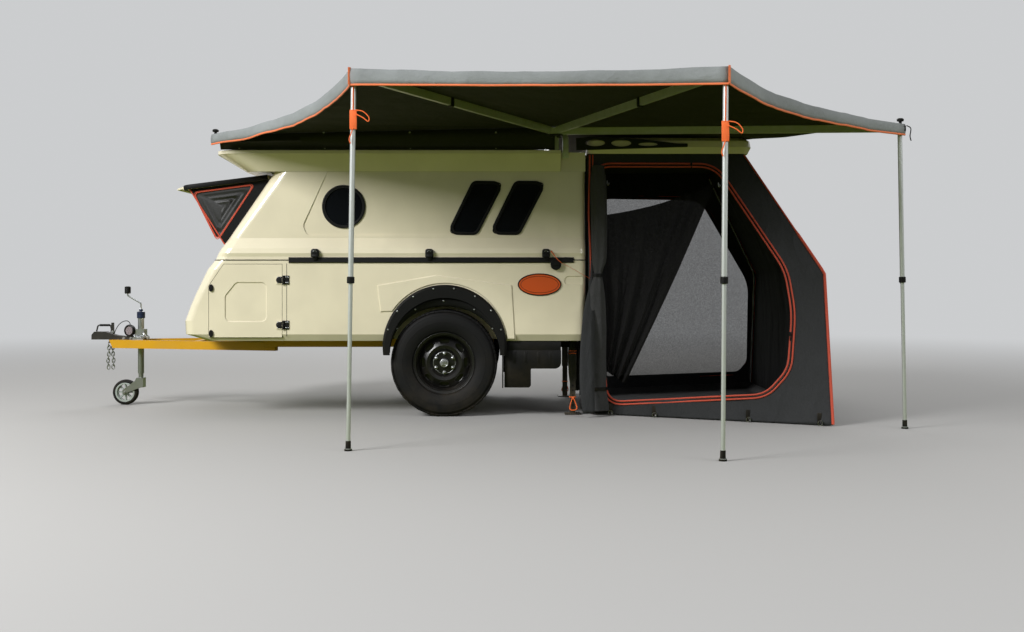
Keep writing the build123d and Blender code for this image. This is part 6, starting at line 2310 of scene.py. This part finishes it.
    def arms(self) -> Piece:
        """Trailing arms with their pivots close ahead of the wheels, and the stub axles."""
        shape = Shape()
        pivot, axle, height = 2.47, 2.8, 0.388
        for side in Side:
            outline = [(pivot - 0.01, -0.38), (axle - 0.06, -0.52), (axle + 0.04, -0.52),
                       (axle + 0.04, -0.6), (axle - 0.06, -0.6), (pivot - 0.01, -0.58)]
            outline = [(x, -side * y) for x, y in outline]
            shape.prism(outline, moved(0, 0, up(height)), 0.07, 0.005)
            for x, y, radius, long in ((pivot, 0.48, 0.035, 0.21), (axle, 0.56, 0.045, 0.08),
                                       (axle, 0.677, 0.0198, 0.234)):
                half = [(0.0, long / 2), (radius - 0.003, long / 2), (radius, long / 2 - 0.003)]
                barrel = [(reach, -along) for reach, along in half] + half[::-1]
                shape.revolve(barrel, flank(side, x, y, height), 28)
            shape.block(moved(pivot, side * 0.48, up(height) + 0.049), (0.044, 0.05, 0.096), 0.003)
        return shape.build("forged_arms", BLACK_STEEL)

    def hatch_brackets(self) -> Piece:
        """Bright angle brackets bolted to the roof's tail beside the hatch arms."""
        shape = Shape()
        for side in Side:
            face = flank(side, 3.686, 0.8655, 1.955)
            outline = ((-0.022, -0.078), (0.022, -0.07), (0.022, 0.078), (0.01, 0.096),
                       (-0.022, 0.096))
            shape.prism(outline, face, 0.005, 0.0015)
            fold = facing(mirrored(side, 3.6655, 0.882, 1.958), (1, 0, 0), (0, 0, 1))
            shape.block(fold, (0.15, 0.036, 0.005), 0.0015)
            for rise in (-0.052, -0.014, 0.06):
                bolt = face @ moved(0.002, rise, 0.0025)
                shape.prism(ngon(0.0075, 6), bolt @ moved(0, 0, 0.0025), 0.005, 0.0008, 1)
        return shape.build("hatch_brackets", ALUMINIUM)

    def window_gaskets(self) -> Piece:
        """Rubber gaskets on the inside of the window frames."""
        shape = Shape()
        face = 0.8683
        circle = [(2.069 + 0.148 * cos(a), 1.53 + 0.148 * sin(a)) for a in turns(72)]
        slanted = ((3.019, 1.701), (3.218, 1.697), (3.032, 1.34), (2.844, 1.343))
        outlines = [circle]
        for shift in (0.0, 0.309):
            corners = [(x + shift, h) for x, h in slanted]
            cx, cy = middle(corners)
            grown = [(cx + (x - cx) * 1.05, cy + (h - cy) * 1.04) for x, h in corners]
            outlines.append(rounded(grown, 0.045, 6))
        for side in Side:
            for outline in outlines:
                ring = [mirrored(side, x, face, h) for x, h in outline]
                shape.tube(ring, 0.0038, 8, loop=True)
        return shape.build("window_gaskets", SOFT_RUBBER)

    def lamp_details(self) -> Piece:
        """Round reflectors in the tail lamps."""
        shape = Shape()
        for side in Side:
            base = facing(mirrored(side, 3.8545, 0.735, 0.64), (1, 0, 0), (0, 1, 0))
            for shift in (-0.058, 0.0, 0.058):
                spot = base @ moved(shift, 0, 0.0)
                shape.revolve([(0.022, 0.0), (0.021, 0.003), (0.016, 0.005), (0.01, 0.004),
                               (0.0, 0.0045)], spot, 28)
        return shape.build("lamp_lenses", LAMP_RED)

    def leg_tabs(self) -> Piece:
        """Webbing at the heads of the steady legs and loops at their feet."""
        shape = Shape()
        for side in Side:
            for height, grow in ((0.47, 0.0265), (0.452, 0.0265), (0.128, 0.0225)):
                corners = [(-grow, -grow), (grow, -grow), (grow, grow), (-grow, grow)]
                ring = [Vector((self.leg[0] + x, side * self.leg[1] + y, up(height)))
                        for x, y in rounded(corners, 0.008, 3)]
                shape.tube(ring, 0.0042, 6, loop=True)
            foot = [mirrored(side, *spot) for spot in self.leg_loop]
            shape.tube(smooth_line(foot, 5), 0.0045, 6)
        return shape.build("leg_tabs", ROPE)

    def leg_pins(self) -> Piece:
        """Row of holes up each steady leg."""
        shape = Shape()
        for side in Side:
            for k in range(5):
                place = flank(side, self.leg[0], 0.7207, 0.07 + 0.036 * k)
                shape.revolve([(0.0068, 0.0), (0.006, 0.001), (0.005, 0.0006), (0.0, 0.0003)],
                              place, 16)
        return shape.build("leg_holes", BLACK_PLASTIC)

    def build(self) -> None:
        """Builds the fittings."""
        for piece, slot, *nodes in (
            (self.skirts(), "soft_rubber"), (self.rivets(), "zinc_steel"),
            (self.plate_borders(), "black_plastic"), (self.catch_bails(), "zinc_steel"),
            (self.filler_cap(), "black_plastic"), (self.rail_liner(), "black_plastic"),
            (self.hatch_brackets(), "pole_aluminium"), (self.window_gaskets(), "soft_rubber"),
            (self.lamp_details(), "lamp_red"), (self.leg_tabs(), "room_cloth"),
            (self.leg_pins(), "black_plastic"), (self.seam_gasket(), "soft_rubber"),
            (self.rail_ends(), "black_plastic"),
            (self.seam_catches(), "black_plastic", "seam_latches"),
            (self.tank_shell(), "black_plastic", "water_tank"),
            (self.arms(), "black_steel", "trailing_arms"),
        ):
            settle(piece, "trailer", slot, *nodes)
        for side in Side:
            door = f"locker_door_{side.word}"
            settle(self.door_trim(side), door, "black_plastic")
            settle(self.hinge_covers(side), door, "soft_rubber")
            settle(self.door_seal(side), "trailer", "soft_rubber")
            settle(self.hinge_bolts(side, (1.597, 1.616), "leaf_bolts"), door, "zinc_steel")
            settle(self.hinge_bolts(side, (1.658, 1.672), "post_bolts"), "trailer", "zinc_steel")


@dataclass
class Coupling:
    """Small parts of the coupling, the jockey jack and the plug on the drawbar."""

    jack_x: float = 0.342
    plug: Spot = (0.262, -0.02, up(0.5905))
    plug_way: Spot = (-0.35, -0.94, 0.0)
    # X and height of the jockey wheel's axle
    jockey: Flat = (0.222, 0.1)

    def crank_knob(self) -> Piece:
        """Grip on the jack's crank, ribbed, with a rounded end."""
        place = moved(0.236, 0, up(0.911))
        profile = [(0.0, -0.029), (0.019, -0.029), (0.0228, -0.024)]
        for k in range(9):
            height = -0.018 + 0.0045 * k
            profile += [(0.0246, height), (0.0234, height + 0.0022)]
        profile += [(0.0242, 0.0235), (0.0215, 0.0275), (0.012, 0.03), (0.0, 0.0305)]
        return Shape().revolve(profile, place, 40).build("crank_grip", BLACK_PLASTIC)

    def collar(self) -> Piece:
        """Dark blue cap that turns on the jack's head."""
        place = moved(self.jack_x, 0, up(0.718))
        profile = [(0.0294, -0.03), (0.0312, -0.0285), (0.0318, -0.01), (0.031, -0.006),
                   (0.0318, -0.002), (0.0316, 0.017), (0.029, 0.0205), (0.015, 0.0215),
                   (0.014, 0.039), (0.01, 0.042)]
        return Shape().revolve(profile, place, 48).build("jack_collar", JACK_BLUE)

    def clamp_screw(self) -> Piece:
        """Clamp's swing handle with its knob, and the base bolts."""
        shape = Shape()
        x, z = self.jack_x, up(0.576)
        shape.tube(smooth_line([(x + 0.03, -0.034, z), (x + 0.034, -0.07, z),
                                (x + 0.046, -0.086, z - 0.01), (x + 0.074, -0.088, z - 0.04)], 5),
                   0.0055, 10)
        shape.tube([(x + 0.074, -0.088, z - 0.038), (x + 0.08, -0.088, z - 0.052)],
                   [0.0095, 0.0085], 14)
        for y in (-0.08, 0.08):
            for shift in (-0.026, 0.026):
                bolt = moved(x + shift, y, up(0.5425))
                shape.prism(ngon(0.0098, 6), bolt @ moved(0, 0, 0.0036), 0.0072, 0.001, 1)
        return shape.build("clamp_handle", ZINC)

    def plug_body(self) -> Piece:
        """Round trailer plug parked in its holder, with a ribbed ring."""
        shape = Shape()
        place = facing(self.plug, self.plug_way)
        shape.revolve([(0.0, -0.03), (0.03, -0.03), (0.04, -0.02), (0.0445, -0.006),
                       (0.046, 0.01), (0.0445, 0.02), (0.037, 0.024), (0.034, 0.02),
                       (0.033, 0.012)], place, 40)
        for k in range(24):
            spot = place @ Matrix.Rotation(tau * k / 24, 4, "Z")
            shape.block(spot @ moved(0.0455, 0, 0.006), (0.004, 0.005, 0.02), 0.001)
        shape.block(facing(Vector(self.plug) - upward(0.047), (0, 0, 1)),
                    (0.046, 0.04, 0.012), 0.003)
        return shape.build("plug_ring", BLACK_PLASTIC)

    def plug_face(self) -> Piece:
        """Grey face of the plug with its pins."""
        shape = Shape()
        pin = ((0.0042, 0.0), (0.004, 0.0035), (0.0025, 0.0045), (0.0, 0.0047))
        place = facing(self.plug, self.plug_way)
        shape.revolve([(0.0335, 0.011), (0.033, 0.0145), (0.0, 0.015)], place, 36)
        for k in range(7):
            reach, angle = (0.0, 0.0) if k == 6 else (0.018, tau * k / 6)
            spot = place @ moved(reach * cos(angle), reach * sin(angle), 0.015)
            shape.revolve(pin, spot, 12)
        return shape.build("plug_face", PLUG_GREY)

    def head_details(self) -> Piece:
        """Bolts through the coupling head, with their washers."""
        shape = Shape()
        for x, height in ((0.118, 0.578), (0.215, 0.528), (0.272, 0.528)):
            for side in Side:
                y = 0.0095 if x < 0.2 else 0.0382
                place = flank(side, x, y, height)
                shape.revolve([(0.0125, -0.001), (0.012, 0.0016), (0.0, 0.0016)], place, 20)
                shape.prism(ngon(0.0085, 6), place @ moved(0, 0, 0.0045), 0.006, 0.001, 1)
        return shape.build("head_bolts", ZINC)

    def grip(self) -> Piece:
        """Rubber sleeve on the grab loop."""
        shape = Shape()
        line = [(0.016 + 0.08 * k / 16, 0, up(0.632)) for k in range(17)]
        shape.tube(line, [0.0085 + (0.001 if k % 2 else 0.0) for k in range(17)], 16)
        return shape.build("loop_grip", SOFT_RUBBER)

    def jockey_tread(self) -> Piece:
        """Rounded solid tyre of the jockey wheel with its two grooves."""
        shape = Shape()
        place = facing((self.jockey[0], 0, up(self.jockey[1])), (0, -1, 0))
        half = [(0.0762, 0.03), (0.085, 0.0302), (0.09, 0.0295), (0.0955, 0.0262),
                (0.0985, 0.02), (0.0995, 0.013), (0.096, 0.012), (0.096, 0.0095),
                (0.0997, 0.0085), (0.1, 0.0)]
        profile = half + [(radius, -along) for radius, along in half[-2::-1]]
        shape.revolve(profile, place, 64)
        shape.revolve([(0.0762, -0.03), (0.0762, 0.03)], place, 64)
        return shape.build("jockey_tread", TYRE_RUBBER, sharp=40.0)

    def chains(self) -> Piece:
        """Safety chains: two hanging strands of welded links."""
        shape = Shape()
        pitch, wide, wire = 0.0255, 0.0115, 0.0036
        for x, y, drift, count in ((0.088, -0.014, 0.004, 8), (0.116, 0.014, -0.003, 8)):
            for k in range(count):
                centre = Vector((x + drift * sin(k * 0.9), y, up(0.4915 - pitch * (k + 0.5))))
                turn = 0.35 if k % 2 else 0.35 + pi / 2
                across = Vector((cos(turn), sin(turn), 0))
                link = []
                for a in turns(20):
                    s = sin(a)
                    rise = s * 0.0165 + copysign(min(abs(s) * 0.004, 0.003), s)
                    link.append(centre + across * cos(a) * (wide - wire * 0.2) + upward(rise))
                shape.tube(link, wire, 8, loop=True)
        return shape.build("safety_chains", ZINC)

    def jockey_axle(self) -> Piece:
        """Nuts and washers at the jockey wheel's axle."""
        shape = Shape()
        for side in Side:
            place = flank(side, self.jockey[0], 0.0415, self.jockey[1])
            shape.revolve([(0.0145, -0.001), (0.014, 0.002), (0.0, 0.002)], place, 24)
            shape.prism(ngon(0.0105, 6), place @ moved(0, 0, 0.006), 0.008, 0.0012, 1)
        return shape.build("jockey_axle_nuts", ZINC)

    def plug_cable(self) -> Piece:
        """Thin cable that loops from the coupling up to the plug."""
        points = ((0.137, -0.03, up(0.56)), (0.15, -0.034, up(0.6)),
                  (0.186, -0.036, up(0.652)), (0.236, -0.034, up(0.672)),
                  (0.262, -0.026, up(0.655)), (0.262, -0.022, up(0.637)))
        return strand("plug_cable", points, 0.003, BLACK_PLASTIC)

    def lay_cable(self) -> None:
        cable = self.plug_cable()
        settle(cable, "trailer", "black_plastic")

    def build(self) -> None:
        """Builds the coupling's parts."""
        for piece, body, slot, *nodes in (
            (self.crank_knob(), "trailer", "black_plastic"),
            (self.collar(), "trailer", "black_plastic"),
            (self.clamp_screw(), "trailer", "zinc_steel"),
            (self.plug_body(), "trailer", "black_plastic"),
            (self.plug_face(), "trailer", "black_plastic"),
            (self.head_details(), "trailer", "zinc_steel"),
            (self.grip(), "trailer", "soft_rubber"),
            (self.chains(), "trailer", "zinc_steel", "safety_chain"),
            (self.jockey_tread(), "jockey_wheel", "tyre_rubber", "jockey_tyre"),
            (self.jockey_axle(), "jockey_fork", "zinc_steel"),
        ):
            settle(piece, body, slot, *nodes)


@dataclass
class Inside:
    """What shows inside: the mattress, the galley's fronts and the hatch's seal."""

    deck: float = 1.1183
    rear: float = 3.786

    def mattress(self) -> Piece:
        """Quilted mattress with swelling edges and a slight crown."""
        shape = Shape()
        x0, x1, half, thick = 1.3, 3.15, 0.8, 0.105
        down, wide = 56, 48

        def spot(u: float, v: float) -> tuple[Spot, Flat]:
            """Point of the quilted top."""
            edge = min(min(u, 1 - u) * (x1 - x0), min(v, 1 - v) * 2 * half)
            crown = thick - 0.028 * exp(-edge / 0.02)
            quilt = abs(sin(u * 9 * pi)) ** 0.35
            quilt *= abs(sin(v * 8 * pi)) ** 0.35
            crown += 0.012 * (quilt - 1) * min(1.0, edge / 0.05)
            crown += 0.004 * wander(71.0, u * 4, v * 4, 0)
            place = (u * (x1 - x0), v * 2 * half)
            return (x0 + u * (x1 - x0), (2 * v - 1) * half, up(self.deck + crown)), place

        shape.surface(down, wide, spot)
        rows = [shape.verts[i * (wide + 1):(i + 1) * (wide + 1)] for i in range(down + 1)]
        rim = ([row[0] for row in rows] + rows[-1][1:] + [row[-1] for row in rows[-2::-1]]
               + rows[0][-2:0:-1])
        skirt = []
        for share, swell in ((0.0, 0.0), (0.15, 0.006), (0.5, 0.01), (0.85, 0.006), (1.0, -0.004)):
            ring = []
            for point in rim:
                out = Vector((point.x - (x0 + x1) / 2, point.y, 0)).normalized()
                low = point + out * swell
                low.z = point.z + (up(self.deck) - point.z) * share
                ring.append(low)
            skirt.append(ring)
        shape.grid(skirt, loop_columns=True)
        shape.fill(skirt[-1], flip=True)
        piece = shape.build("mattress_quilt", BED_CLOTH, sharp=50.0)
        weld(piece, 0.0003)
        return piece

    def pulls(self) -> Piece:
        """Bar pulls on the galley's drawers and doors."""
        shape = Shape()
        for y in (-0.5775, -0.1875, 0.1875, 0.5775):
            for height in (0.82, 0.93, 1.05, 0.7):
                spot = Vector((self.rear + 0.0035, y, up(height)))
                bar = trail(spot, (0, -0.05, 0), (0.016, -0.044, 0), (0.02, 0, 0),
                            (0.016, 0.044, 0), (0, 0.05, 0))
                shape.tube(smooth_line(bar, 4), 0.0042, 10)
        return shape.build("drawer_pulls", ALUMINIUM)

    def worktop(self) -> Piece:
        """Rounded front edging along the galley's top."""
        shape = Shape()
        section = ((0.0, 0.004), (0.004, 0.004), (0.0075, 0.0), (0.0075, -0.022), (0.004, -0.026),
                   (0.0, -0.026))
        rows = [[Vector((self.rear + out, -0.778 + 1.556 * k / 4, up(1.099 + rise)))
                 for out, rise in section] for k in range(5)]
        shape.grid(rows)
        for row in (rows[0], rows[-1]):
            shape.fill(row)
        return shape.build("galley_edging", ALUMINIUM)

    def seal(self) -> Piece:
        """Bulb seal round the tail's opening."""
        corners = [(-0.796, 0.736), (0.796, 0.736), (0.796, 1.884), (-0.796, 1.884)]
        line = [Vector((3.8345, y, up(height))) for y, height in rounded(corners, 0.03, 6)]
        dense = []
        for start, end in zip(line, line[1:] + line[:1]):
            dense += [start.lerp(end, k / 6) for k in range(6)]
        return Shape().tube(dense, 0.0042, 8, loop=True).build("tail_seal", SOFT_RUBBER)

    def build(self) -> None:
        """Builds the inside's pieces."""
        quilt = settle(self.mattress(), "trailer", "bed_cloth", "mattress")
        settle(self.pulls(), "trailer", "pole_aluminium")
        settle(self.worktop(), "trailer", "pole_aluminium")
        seal = settle(self.seal(), "trailer", "soft_rubber")
        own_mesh(seal)


def main() -> None:
    """Builds the trailer's looks in order."""
    logging.basicConfig(level=logging.INFO, format="%(name)s: %(message)s")
    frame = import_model()
    dress_frame(frame)
    Studio().build()
    coupling = Coupling()
    coupling.lay_cable()
    Awning().build()
    FabricRoom().build()
    FrontHatch().build()
    for side in Side:
        Wheel(side).build()
    Fittings().build()
    coupling.build()
    Inside().build()


if __name__ == "__main__":
    main()
